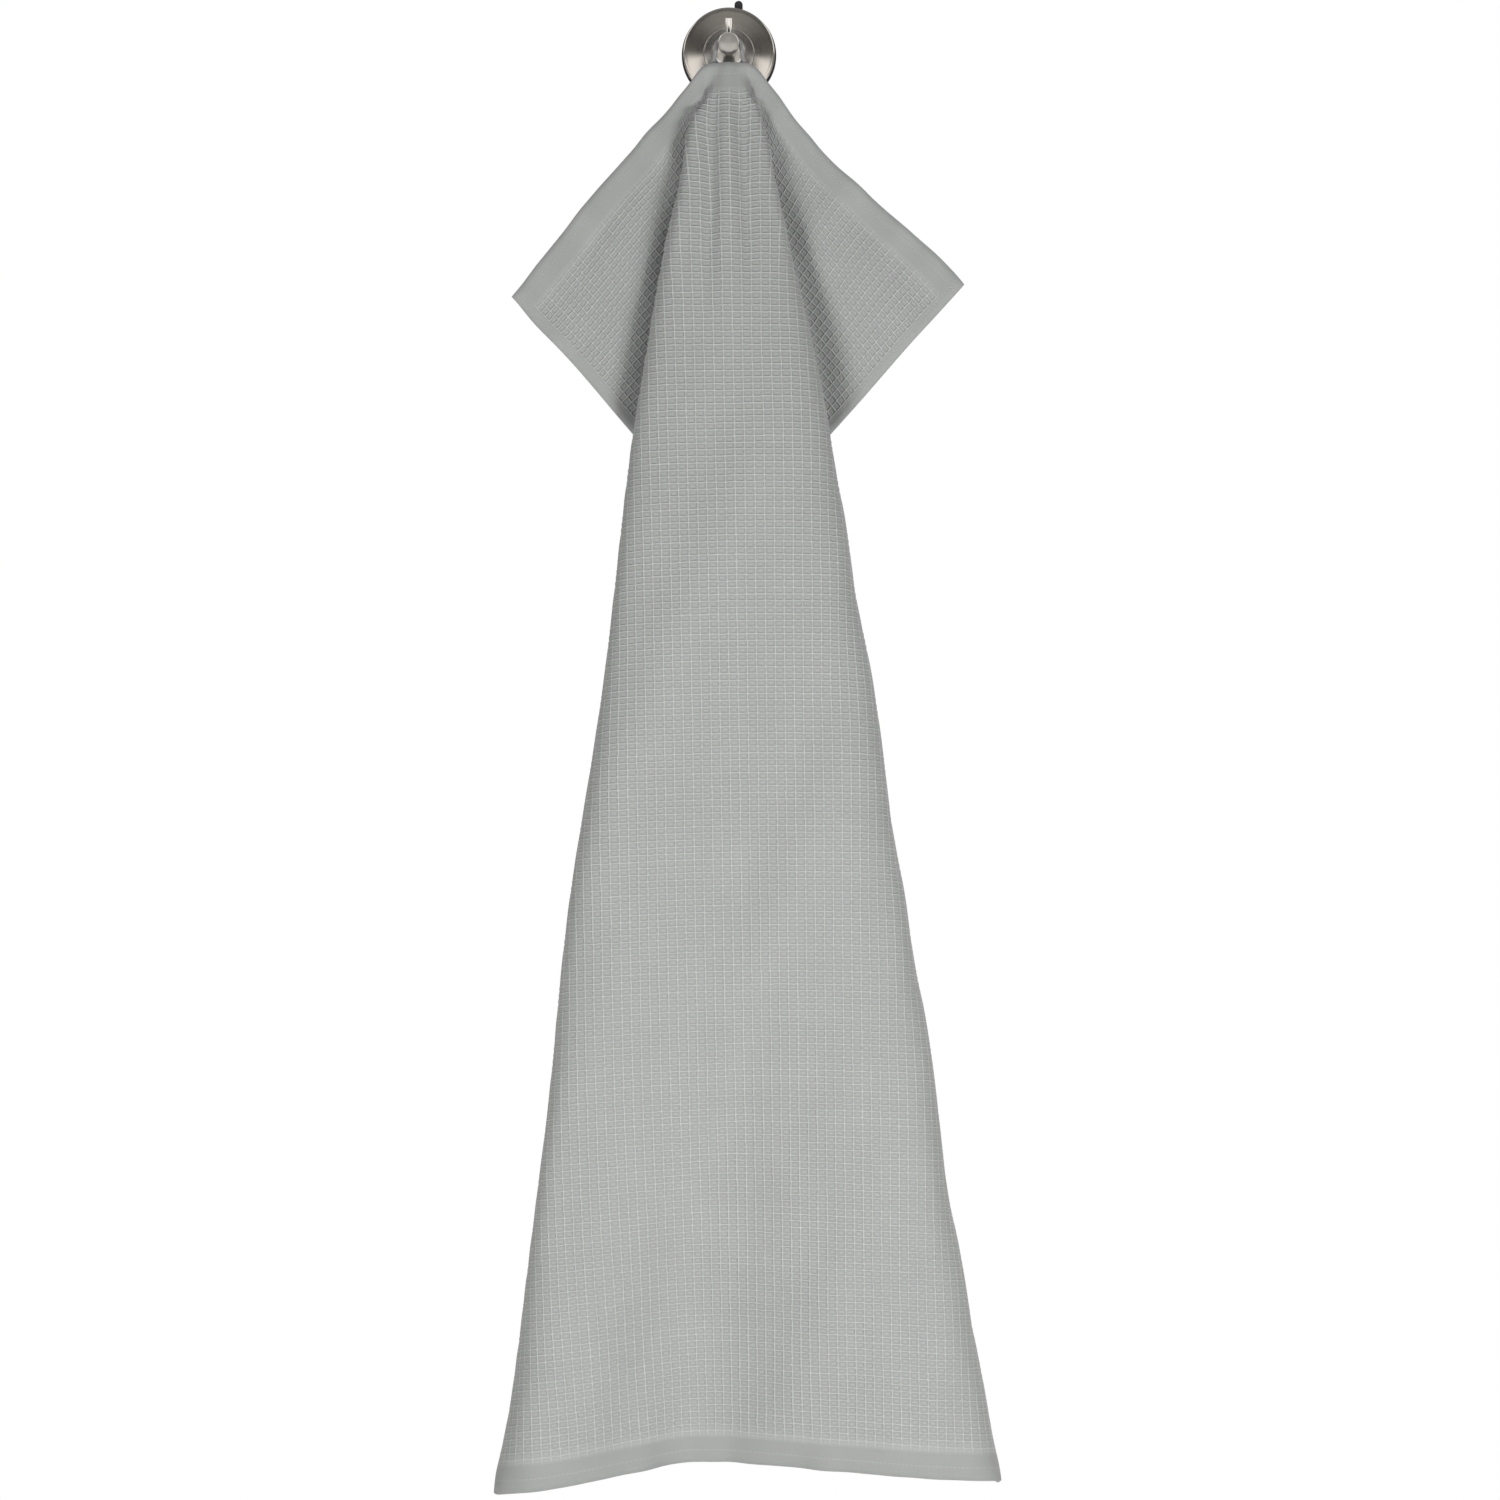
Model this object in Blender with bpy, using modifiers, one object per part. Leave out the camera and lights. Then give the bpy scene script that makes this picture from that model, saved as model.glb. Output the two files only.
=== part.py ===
"""A waffle-weave hand towel that hangs by its loop from the peg of a suction-cup hook.

Metres throughout, angles in degrees. The wall is the plane Y = 0 and the hook's axis runs out
of it along -Y, through the origin. Depth below means the distance from the wall.
"""
import math

import bmesh
import bpy
import numpy as np

OBJECT_NAME = "hand_towel_on_a_hook"
GAP = 0.0003

# Suction cup: a flat-backed rubber disc with a domed middle and a pull tab at its top
CUP_RADIUS = 0.0340
CUP_LIP = 0.0026
CUP_DOME_RADIUS = 0.0290
CUP_DOME_SLOPE = 0.0040
CUP_DOME_DEPTH = 0.0048
TAB_ACROSS = 0.0070
TAB_WIDTH = 0.0060
TAB_END = 0.0390
TAB_THICKNESS = 0.0024

# Cap: a turned steel shell, dished in front
CAP_RADIUS = 0.0326
CAP_RIM_DEPTH = 0.0094
CAP_DISH_DEPTH = 0.0074
CAP_WALL = 0.0012
CAP_CHAMFER = 0.0008

# Peg: a flared foot on the cap, a thin neck, a round head and an upright pin
FOOT_RADIUS = 0.0184
NECK_RADIUS = 0.00475
HEAD_RADIUS = 0.0073
HEAD_BACK = 0.0340
HEAD_FRONT = 0.0450
HEAD_ROUNDING = 0.0006
PIN_RADIUS = 0.00265
PIN_DEPTH = 0.0225
PIN_TOP = 0.0222
PIN_BEVEL = 0.0004

# Towel: one rectangle of cloth with a doubled hem all round
WIDTH = 0.48
LENGTH = 1.00
CLOTH_THICKNESS = 0.0018
HEM_THICKNESS = 0.0026
END_HEM = 0.0175
SIDE_HEM = 0.0090
TOP_EDGE_Z = -0.0142
TOP_EDGE_DEPTH = 0.0400

# Hanging loop: a folded tape, sewn behind the top hem
LOOP_THICKNESS = 0.0028
LOOP_BREADTH = 0.0042
LOOP_DEPTH = 0.0310
LOOP_HALF_WIDTH = 0.0088
LOOP_FOOT_ACROSS = 0.0112
LOOP_FOOT_STARTS = 0.0015
LOOP_FOOT_ENDS = 0.0125
LOOP_FOOT_THICKNESS = 0.0016
LOOP_FOOT_CLEARANCE = 0.0006
LOOP_FULLNESS = 0.54


def table(names, *rows):
    """Rows of numbers as named columns."""
    return dict(zip(names.split(), np.array(rows).T))

# The loop's strand between the peg and the hem
LOOP_STRAND = table(
    "across depth z thickness breadth",
    (0.0098, 0.0318, -0.0055, 0.0028, 0.0042),
    (0.0106, 0.0340, -0.0105, 0.0032, 0.0032),
)

# The peg's foot flares from the neck to the cap: radius at each height above the dish
FLARE = table(
    "radius rise",
    (0.00475, 0.0130),
    (0.0052, 0.0090),
    (0.0069, 0.0052),
    (0.0105, 0.0025),
    (0.0144, 0.0011),
    (0.0184, 0.0005),
)

# Sections through the folds. Reach is the distance along the cloth from the middle of its top
# edge. A cloth angle is measured on the flat towel from its middle line, a swing is the same
# point's angle from straight down as it hangs, and the other columns are depths. At every
# reach the front panel runs out to its side folds, the cloth turns in behind it to the tucks,
# and there turns out again to make the wings, which end at the top edge.
FRONT = table(
    "reach cloth_left cloth_right swing_left swing_right fold_left fold_right middle",
    (0.000, 34.0, 34.0, 34.0, 34.0, 0.0400, 0.0400, 0.0400),
    (0.022, 33.0, 34.0, 38.0, 39.5, 0.0410, 0.0405, 0.0430),
    (0.040, 29.0, 28.0, 34.5, 30.0, 0.0420, 0.0400, 0.0465),
    (0.080, 22.5, 21.5, 23.9, 21.0, 0.0435, 0.0395, 0.0520),
    (0.130, 19.3, 18.9, 20.0, 18.0, 0.0455, 0.0390, 0.0580),
    (0.200, 17.2, 16.8, 16.8, 15.4, 0.0465, 0.0385, 0.0640),
    (0.280, 15.6, 15.2, 14.9, 14.2, 0.0470, 0.0380, 0.0690),
    (0.420, 13.6, 13.4, 12.7, 12.3, 0.0465, 0.0375, 0.0710),
    (0.600, 12.1, 12.1, 11.5, 11.1, 0.0450, 0.0375, 0.0700),
    (0.800, 11.2, 11.3, 10.6, 10.3, 0.0430, 0.0375, 0.0670),
    (1.030, 11.8, 10.9, 10.1, 9.9, 0.0400, 0.0370, 0.0650),
)
# A tuck's swing past the middle of the towel is negative
TUCK = table(
    "reach cloth swing_left swing_right depth_left depth_right",
    (0.000, 40.0, 40.0, 40.0, 0.0395, 0.0395),
    (0.022, 38.0, 40.0, 41.0, 0.0385, 0.0380),
    (0.030, 38.0, 37.0, 35.0, 0.0380, 0.0365),
    (0.040, 38.0, 31.0, 28.0, 0.0375, 0.0348),
    (0.080, 38.2, 5.0, 9.0, 0.0380, 0.0300),
    (0.130, 38.5, 0.5, 3.5, 0.0385, 0.0260),
    (0.200, 38.5, -2.8, -1.6, 0.0395, 0.0220),
    (0.280, 38.5, -4.4, -5.8, 0.0395, 0.0190),
    (0.420, 38.5, -6.0, -8.0, 0.0385, 0.0180),
    (0.600, 38.5, -7.0, -8.5, 0.0365, 0.0180),
    (1.030, 38.5, -7.0, -9.0, 0.0300, 0.0180),
)
WING = table(
    "reach swing_left swing_right depth_left depth_right",
    (0.000, 90.0, 90.0, 0.0395, 0.0395),
    (0.014, 89.0, 89.0, 0.0390, 0.0385),
    (0.030, 66.0, 66.0, 0.0368, 0.0355),
    (0.047, 57.0, 55.0, 0.0345, 0.0315),
    (0.085, 50.5, 48.0, 0.0322, 0.0262),
    (0.140, 47.3, 47.0, 0.0305, 0.0215),
    (0.230, 44.6, 47.0, 0.0260, 0.0175),
    (0.300, 45.4, 43.6, 0.0245, 0.0170),
    (1.030, 41.0, 42.0, 0.0200, 0.0150),
)
# Small local pulls: where on the cloth, how far they spread, and how far they shift it
PULLS = table(
    "across down spread shift_across shift_forward shift_up",
    (-0.195, 1.00, 0.045, -0.0050, 0.0000, 0.0000),
    (0.185, 1.00, 0.028, 0.0030, 0.0000, 0.0000),
    (0.055, 0.00, 0.022, 0.0000, 0.0030, 0.0000),
    (0.095, 0.00, 0.025, 0.0000, -0.0025, 0.0000),
    (-0.240, 0.00, 0.020, 0.0030, 0.0000, 0.0010),
)
LEAN = 0.9
STRETCH = 0.0036

# Where along the reach the flat top edge becomes folds, and how softly the cloth turns there
FOLDED_OVER = (0.014, 0.034)
FOLD_PULL = 0.9
STRIP_LOOSENESS = 2.6
STRIP_PULL = 0.004
STRIP_LEAST_DEPTH = 0.001
TUCK_ANGLE = 38.5
TUCK_TURN = 0.0022
TUCK_WIDENS = 0.0060
TUCK_WIDENS_OVER = (0.02, 0.20)
TUCK_OPENS = 0.0080
TUCK_OPENS_OVER = (0.22, 0.36)
TUCK_PULL = 3.0
WING_PULL = 0.6

# The front panel's rows sag towards its sides, the wings are drawn in to the loop, and the
# bottom corners rise where they turn back
DROOP = 0.38
DROOP_GROWS_OVER = (0.05, 0.30)
DROOP_FADES_OVER = (17.0, 34.0)
WING_DRAWN_IN = 0.044
WING_DRAWN_OVER = (40.0, 78.0)
CORNER_LIFT = 0.30
CORNER_LIFT_OVER = (0.5, 1.0)

# One broad hollow, left of the middle, deepens towards the bottom hem
HOLLOW_OVER = (0.55, 1.02)
HOLLOW_POWER = 1.3
HOLLOW_DEPTH = 0.036
HOLLOW_ACROSS = -0.040
HOLLOW_SPREAD = 0.062

# Two soft pleats run down from the loop and fade out
PLEAT_ACROSS = 0.0085
PLEAT_SPREAD = 0.005
PLEAT_DEPTH = 0.0022
PLEATS_PART = 4.0
PLEAT_GROWS_OVER = (0.012, 0.035)
PLEAT_FADES_OVER = (0.06, 0.16)

# Mesh of the cloth: spans across each half for the front panel, the turned-in strip and the
# wing, and the spacing of the rows, which are closest by the loop and where the tucks run out
FRONT_SPANS = 8
STRIP_SPANS = 8
WING_SPANS = 7
FOLD_COLUMN_FROM = 0.009
FOLD_COLUMN_REACH = 0.022
TUCK_COLUMN_FROM = 0.016
TUCK_COLUMN_INSET = 0.012
TUCK_COLUMN_RETURNS = 0.42
TUCK_COLUMN_RETURNS_OVER = (0.33, 0.60)
STRIP_CROWDING = 0.08
WING_CROWDING = 1.3
ROW_SPACING = table(
    "down spacing",
    (0.00, 0.0065),
    (0.15, 0.0160),
    (0.24, 0.0100),
    (0.34, 0.0100),
    (0.42, 0.0240),
    (1.00, 0.0380),
)
SECTION_STEPS = 32
TURNED_SEGMENTS = 48


def clear_scene():
    """Remove what the scene starts with."""
    for obj in list(bpy.data.objects):
        bpy.data.objects.remove(obj, do_unlink=True)


def new_collection(name):
    """A collection linked to the scene."""
    collection = bpy.data.collections.new(name)
    bpy.context.scene.collection.children.link(collection)
    return collection


def finish_material(name, colour, roughness, metallic=0.0):
    """A plain material with the finish of one piece."""
    made = bpy.data.materials.new(name)
    made.use_nodes = True
    shader = made.node_tree.nodes["Principled BSDF"]
    shader.inputs["Base Color"].default_value = (*colour, 1.0)
    shader.inputs["Roughness"].default_value = roughness
    shader.inputs["Metallic"].default_value = metallic
    return made


def mesh_object(name, build, collection, made=None):
    """An object whose mesh is filled by the given function."""
    mesh = bpy.data.meshes.new(name)
    form = bmesh.new()
    build(form)
    form.to_mesh(mesh)
    form.free()
    obj = bpy.data.objects.new(name, mesh)
    collection.objects.link(obj)
    if made:
        mesh.materials.append(made)
    return obj


def turned_piece(name, profile, collection, made):
    """A shape turned about the hook's axis, from a profile of (radius, depth), front to back."""
    def build(form):
        verts = [form.verts.new((radius, 0.0, depth)) for radius, depth in profile]
        for first, second in zip(verts, verts[1:]):
            form.edges.new((first, second))

    obj = mesh_object(name, build, collection, made)
    obj.rotation_euler = (math.pi / 2, 0.0, 0.0)
    screw = obj.modifiers.new("Turn", "SCREW")
    screw.steps = TURNED_SEGMENTS
    screw.render_steps = TURNED_SEGMENTS
    screw.use_merge_vertices = True
    screw.merge_threshold = 0.00001
    screw.use_smooth_shade = True
    return obj


def arc_points(centre, radius, start, end, count):
    """Points of an arc in a profile, angles from the outward direction towards the front."""
    angles = np.radians(np.linspace(start, end, count))
    return [(centre[0] + radius * math.cos(a), centre[1] + radius * math.sin(a)) for a in angles]


def make_tab_outline(form):
    """The pull tab's round-ended outline, raised to its thickness."""
    half = TAB_WIDTH / 2
    foot = CUP_DOME_RADIUS - half
    round_end = arc_points((TAB_ACROSS, TAB_END - half), half, 0, 180, 9)
    outline = [(TAB_ACROSS + half, foot), *round_end, (TAB_ACROSS - half, foot)]
    face = form.faces.new([form.verts.new((x, 0.0, z)) for x, z in outline])
    raised = bmesh.ops.extrude_face_region(form, geom=[face])
    moved = [part for part in raised["geom"] if isinstance(part, bmesh.types.BMVert)]
    bmesh.ops.translate(form, vec=(0.0, -TAB_THICKNESS, 0.0), verts=moved)
    bmesh.ops.recalc_face_normals(form, faces=form.faces)


def make_suction_cup(collection, cutters, made):
    """Rubber disc with a flat back and a low dome, and its pull tab."""
    def build(form):
        bmesh.ops.create_cone(form, cap_ends=True, segments=TURNED_SEGMENTS, radius1=CUP_RADIUS,
                              radius2=CUP_RADIUS, depth=CUP_LIP)
        front = max(form.faces, key=lambda face: face.calc_center_median().z)
        bmesh.ops.inset_region(form, faces=[front], thickness=CUP_RADIUS - CUP_DOME_RADIUS)
        bmesh.ops.inset_region(form, faces=[front], thickness=CUP_DOME_SLOPE)
        for vert in front.verts:
            vert.co.z += CUP_DOME_DEPTH - CUP_LIP
        bmesh.ops.translate(form, vec=(0.0, 0.0, CUP_LIP / 2), verts=form.verts)

    cup = mesh_object("suction_cup", build, collection, made)
    cup.rotation_euler = (math.pi / 2, 0.0, 0.0)
    tab = mesh_object("pull_tab_form", make_tab_outline, cutters)
    tab.hide_render = True
    tab.display_type = "WIRE"
    union = cup.modifiers.new("Pull tab", "BOOLEAN")
    union.operation = "UNION"
    union.object = tab
    return cup


def make_cap(collection, made):
    """Steel shell: a chamfered rim, a shallow dish in front and an open hollow at the back."""
    inner = CAP_RADIUS - CAP_WALL
    profile = [
        (0.0, CAP_DISH_DEPTH),
        (FOOT_RADIUS * 0.6, CAP_DISH_DEPTH),
        (FOOT_RADIUS, CAP_DISH_DEPTH),
        (CAP_RADIUS * 0.80, CAP_DISH_DEPTH + 0.0007),
        (CAP_RADIUS - 2.5 * CAP_CHAMFER, CAP_RIM_DEPTH - 0.0002),
        (CAP_RADIUS - CAP_CHAMFER, CAP_RIM_DEPTH),
        (CAP_RADIUS, CAP_RIM_DEPTH - CAP_CHAMFER),
        (CAP_RADIUS, CUP_LIP + GAP),
        (inner, CUP_LIP + GAP),
        (inner, CAP_DISH_DEPTH - CAP_WALL),
        (0.0, CAP_DISH_DEPTH - CAP_WALL),
    ]
    return turned_piece("cup_cap", profile, collection, made)


def make_neck(collection, made):
    """Peg: a foot that flares out on the dish, and the thin neck that the loop hangs on."""
    foot = CAP_DISH_DEPTH + GAP
    front = HEAD_BACK - GAP
    flare = list(zip(FLARE["radius"], foot + FLARE["rise"]))
    profile = [(0.0, front), (NECK_RADIUS, front), *flare, (FOOT_RADIUS, foot), (0.0, foot)]
    return turned_piece("peg_neck", profile, collection, made)


def make_head(collection, made):
    """Round head: a short cylinder with softened edges."""
    rounded = HEAD_RADIUS - HEAD_ROUNDING
    front_edge = arc_points((rounded, HEAD_FRONT - HEAD_ROUNDING), HEAD_ROUNDING, 90, 0, 4)
    back_edge = arc_points((rounded, HEAD_BACK + HEAD_ROUNDING), HEAD_ROUNDING, 0, -90, 4)
    profile = [(0.0, HEAD_FRONT), *front_edge, *back_edge, (0.0, HEAD_BACK)]
    return turned_piece("peg_head", profile, collection, made)


def make_pin(collection, made):
    """Upright pin behind the head, which keeps the loop from slipping back."""
    bottom = NECK_RADIUS + GAP

    def build(form):
        bmesh.ops.create_cone(form, cap_ends=True, segments=20, radius1=PIN_RADIUS, radius2=PIN_RADIUS,
                              depth=PIN_TOP - bottom)

    pin = mesh_object("retaining_pin", build, collection, made)
    pin.location = (0.0, -PIN_DEPTH, (PIN_TOP + bottom) / 2)
    bevel = pin.modifiers.new("Softened edges", "BEVEL")
    bevel.width = PIN_BEVEL
    bevel.segments = 2
    return pin


def hermite(start, start_slope, end, end_slope, share):
    """A cubic between two values with the given slopes."""
    return (start * (2 * share**3 - 3 * share**2 + 1) + start_slope * (share**3 - 2 * share**2 + share)
            + end * (3 * share**2 - 2 * share**3) + end_slope * (share**3 - share**2))


def read(sections, name, reach):
    """A column's value at a reach, on a smooth curve through the table's rows."""
    place, value = sections["reach"], sections[name]
    slope = np.gradient(value, place)
    row = int(np.clip(np.searchsorted(place, reach) - 1, 0, len(place) - 2))
    width = place[row + 1] - place[row]
    share = (reach - place[row]) / width
    return hermite(value[row], slope[row] * width, value[row + 1], slope[row + 1] * width, share)


def ease(value, start, end):
    """From 0 at the start to 1 at the end, level at both."""
    share = min(max((value - start) / (end - start), 0.0), 1.0)
    return share * share * (3 - 2 * share)


def half_section(reach, side):
    """Half a section: cloth angles, and for each the way across and the depth."""
    hand = "left" if side < 0 else "right"
    cloth = np.radians([0.0, read(FRONT, "cloth_" + hand, reach), read(TUCK, "cloth", reach), 90.0])
    swing = np.radians([0.0] + [read(part, "swing_" + hand, reach) for part in (FRONT, TUCK, WING)])
    depth = np.array([read(FRONT, "middle", reach), read(FRONT, "fold_" + hand, reach),
                      read(TUCK, "depth_" + hand, reach), read(WING, "depth_" + hand, reach)])
    points = np.stack([swing * reach, depth], 1)
    length = np.diff(cloth) * reach
    folded = ease(reach, *FOLDED_OVER)
    turn = folded * math.pi / 2
    outward = np.array([1.0, 0.0])
    to_wall = np.array([math.cos(turn), -math.sin(turn)])
    strip_depth = max(depth[1] - depth[2], STRIP_LEAST_DEPTH)
    strip_pull = min(length[1], STRIP_LOOSENESS * strip_depth + STRIP_PULL)
    strip_pull = length[1] + (strip_pull - length[1]) * folded
    turn_size = TUCK_TURN + TUCK_WIDENS * ease(reach, *TUCK_WIDENS_OVER)
    turn_size += TUCK_OPENS * ease(reach, *TUCK_OPENS_OVER)
    tuck_pull = length[2] + (min(length[2], TUCK_PULL * turn_size) - length[2]) * folded
    spans = (
        (points[0], outward * length[0], points[1], to_wall * length[0] * FOLD_PULL),
        (points[1], to_wall * strip_pull, points[2], to_wall * strip_pull),
        (points[2], to_wall * tuck_pull, points[3], outward * length[2] * WING_PULL),
    )
    share = np.linspace(0, 1, SECTION_STEPS)[:, None]
    angles, curve = [cloth[:1]], [points[:1]]
    for first, last, span in zip(cloth, cloth[1:], spans):
        line = hermite(*span, share)
        run = np.concatenate([[0.0], np.cumsum(np.hypot(*np.diff(line, axis=0).T))])
        angles.append(first + (last - first) * run[1:] / run[-1])
        curve.append(line[1:])
    return np.concatenate(angles), np.concatenate(curve)


def hang(across, down):
    """Where a point of the flat towel hangs, from its place across from the middle and down."""
    reach = math.hypot(across, down)
    if reach < 0.0001:
        return np.array([0.0, -TOP_EDGE_DEPTH, TOP_EDGE_Z])
    side = -1 if across < 0 else 1
    angle = math.atan2(abs(across), down)
    angles, curve = half_section(reach, side)
    along = side * np.interp(angle, angles, curve[:, 0])
    depth = np.interp(angle, angles, curve[:, 1])

    bow = side * angle * reach
    hollow = HOLLOW_DEPTH * ease(reach, *HOLLOW_OVER) ** HOLLOW_POWER
    depth -= hollow * math.exp(-((bow - HOLLOW_ACROSS) / HOLLOW_SPREAD) ** 2)
    pleat = PLEAT_DEPTH * ease(down, *PLEAT_GROWS_OVER) * (1 - ease(down, *PLEAT_FADES_OVER))
    off_pleat = (abs(across) - PLEAT_ACROSS * (1 + PLEATS_PART * down)) / PLEAT_SPREAD
    depth -= pleat * math.exp(-off_pleat**2)

    swing = along / reach + math.radians(LEAN)
    drawn = reach * (1 + STRETCH - WING_DRAWN_IN * ease(math.degrees(angle), *WING_DRAWN_OVER))
    droop = DROOP * bow**2 * ease(reach, *DROOP_GROWS_OVER)
    droop *= 1 - ease(math.degrees(angle), *DROOP_FADES_OVER)
    hand = "left" if side < 0 else "right"
    turned_in = max(0.0, abs(bow) - math.radians(read(FRONT, "cloth_" + hand, reach)) * reach)
    lift = CORNER_LIFT * turned_in * ease(reach, *CORNER_LIFT_OVER)
    height = TOP_EDGE_Z - drawn * math.cos(swing) - droop + lift
    place = np.array([drawn * math.sin(swing), -depth, height])

    off = ((across - PULLS["across"]) ** 2 + (down - PULLS["down"]) ** 2) / PULLS["spread"] ** 2
    weight = np.exp(-off)
    shift = np.array([PULLS["shift_across"], -PULLS["shift_forward"], PULLS["shift_up"]])
    return place + shift @ weight


def columns_at(down):
    """Where the mesh's columns cross a row of the flat towel: they follow the folds."""
    half = WIDTH / 2
    columns = []
    for hand in ("left", "right"):
        fold_angle = math.radians(read(FRONT, "cloth_" + hand, max(down, FOLD_COLUMN_REACH)))
        fold = math.hypot(down * math.tan(fold_angle), FOLD_COLUMN_FROM)
        tuck = math.hypot(down * math.tan(math.radians(TUCK_ANGLE)), TUCK_COLUMN_FROM)
        last = half - SIDE_HEM - TUCK_COLUMN_INSET
        last -= (last - fold) * TUCK_COLUMN_RETURNS * ease(down, *TUCK_COLUMN_RETURNS_OVER)
        tuck = min(tuck, last)
        inner = np.linspace(0, fold, FRONT_SPANS + 1)
        share = np.arange(1, STRIP_SPANS + 1) / STRIP_SPANS
        strip = fold + (tuck - fold) * (share - STRIP_CROWDING * np.sin(2 * math.pi * share))
        share = np.arange(1, WING_SPANS + 1) / WING_SPANS
        wing = tuck + (half - SIDE_HEM - tuck) * share**WING_CROWDING
        columns.append(np.concatenate([inner, strip, wing, [half]]))
    return np.concatenate([-columns[0][::-1], columns[1][1:]])


def rows_down():
    """The mesh's rows at their spacing, with one at the inner edge of each end hem."""
    fine = np.linspace(0, LENGTH, 501)
    count = np.cumsum(fine[1] / np.interp(fine, ROW_SPACING["down"], ROW_SPACING["spacing"]))
    count -= count[0]
    steps = round(count[-1])
    rows = np.interp(np.linspace(0, count[-1], steps + 1), count, fine)
    for edge in (END_HEM, LENGTH - END_HEM):
        rows[np.argmin(abs(rows - edge))] = edge
    return rows


def make_towel(collection, made):
    """The whole cloth as one sheet, bent from a flat grid and given its thickness."""
    rows = rows_down()
    count = len(columns_at(0.0))
    thin = []

    def build(form):
        bmesh.ops.create_grid(form, x_segments=count - 1, y_segments=len(rows) - 1, size=0.5)
        form.verts.ensure_lookup_table()
        for index, vert in enumerate(form.verts):
            down = rows[len(rows) - 1 - index // count]
            across = columns_at(down)[index % count]
            vert.co = hang(across, down)
            in_side_hem = WIDTH / 2 - abs(across) < SIDE_HEM - GAP
            in_end_hem = min(down, LENGTH - down) < END_HEM - GAP
            if not (in_side_hem or in_end_hem):
                thin.append(index)

    towel = mesh_object("towel", build, collection, made)
    everything = list(range(len(towel.data.vertices)))
    weights = towel.vertex_groups.new(name="Share of the hem's thickness")
    weights.add(everything, 1.0, "REPLACE")
    weights.add(thin, CLOTH_THICKNESS / HEM_THICKNESS, "REPLACE")
    solid = towel.modifiers.new("Thickness", "SOLIDIFY")
    solid.thickness = HEM_THICKNESS
    solid.offset = 0.0
    solid.vertex_group = weights.name
    towel.data.shade_smooth()
    return towel


def loop_path():
    """Stations of the loop from one foot over the neck to the other, with its size at each."""
    top = NECK_RADIUS + GAP + LOOP_THICKNESS / 2
    arch = [(LOOP_HALF_WIDTH * math.sin(a), LOOP_DEPTH, top * math.cos(a), LOOP_THICKNESS, LOOP_BREADTH)
            for a in np.radians(np.linspace(0, 90, 8))]
    foot = []
    for down in np.linspace(LOOP_FOOT_STARTS, LOOP_FOOT_ENDS, 5):
        hem = hang(LOOP_FOOT_ACROSS, down)
        depth = -hem[1] - (HEM_THICKNESS + LOOP_FOOT_THICKNESS) / 2 - GAP - LOOP_FOOT_CLEARANCE
        foot.append((LOOP_FOOT_ACROSS, depth, hem[2], LOOP_BREADTH, LOOP_FOOT_THICKNESS))
    strand = list(zip(*(LOOP_STRAND[name] for name in "across depth z thickness breadth".split())))
    half = arch + strand + foot
    return [(-x, *rest) for x, *rest in half[:0:-1]] + half


def make_loop(collection, made):
    """A tape swept along its path, wide across the peg and flattened where it is sewn down."""
    stations = np.array(loop_path())
    middle = stations[:, :3] * (1, -1, 1)
    ring_angles = np.radians(np.arange(0, 360, 45) + 22.5)

    def build(form):
        rings = []
        for index, (x, depth, z, thickness, breadth) in enumerate(stations):
            before, after = middle[max(index - 1, 0)], middle[min(index + 1, len(middle) - 1)]
            run = (after - before) / np.linalg.norm(after - before)
            aside = np.cross(run, (0.0, 1.0, 0.0))
            aside /= np.linalg.norm(aside)
            ring = []
            for angle in ring_angles:
                shift = aside * math.cos(angle) * thickness * LOOP_FULLNESS
                shift = shift + np.array([0.0, 1.0, 0.0]) * math.sin(angle) * breadth * LOOP_FULLNESS
                ring.append(form.verts.new(middle[index] + shift))
            rings.append(ring)
        for first, second in zip(rings, rings[1:]):
            for a, b in zip(range(8), [1, 2, 3, 4, 5, 6, 7, 0]):
                form.faces.new((first[a], first[b], second[b], second[a]))
        form.faces.new(rings[0][::-1])
        form.faces.new(rings[-1])
        bmesh.ops.recalc_face_normals(form, faces=form.faces)

    loop = mesh_object("hanging_loop", build, collection, made)
    loop.data.shade_smooth()
    return loop


def main():
    clear_scene()
    pieces = new_collection(OBJECT_NAME)
    cutters = new_collection("cutters")
    steel = finish_material("Brushed steel", (0.52, 0.50, 0.47), 0.28, 1.0)
    make_suction_cup(pieces, cutters, finish_material("Black rubber", (0.018, 0.018, 0.020), 0.55))
    make_cap(pieces, steel)
    make_neck(pieces, finish_material("Turned steel neck", (0.50, 0.49, 0.47), 0.30, 1.0))
    make_head(pieces, finish_material("Turned steel head", (0.60, 0.59, 0.57), 0.26, 1.0))
    make_pin(pieces, finish_material("Steel pin", (0.62, 0.60, 0.58), 0.18, 1.0))
    make_loop(pieces, finish_material("Grey loop tape", (0.24, 0.25, 0.24), 0.90))
    make_towel(pieces, finish_material("Grey waffle cloth", (0.42, 0.43, 0.42), 0.92))


main()
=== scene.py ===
"""Looks for a waffle-weave hand towel that hangs by its loop from a suction-cup hook.

Run as a script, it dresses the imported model. The sizes and colours that a user would change
are on the Towel tab of the 3D view's sidebar. Metres throughout. The wall is the plane Y = 0,
the hook's axis runs out of it along -Y through the origin, and depth means distance from the
wall.
"""

import math

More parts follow.
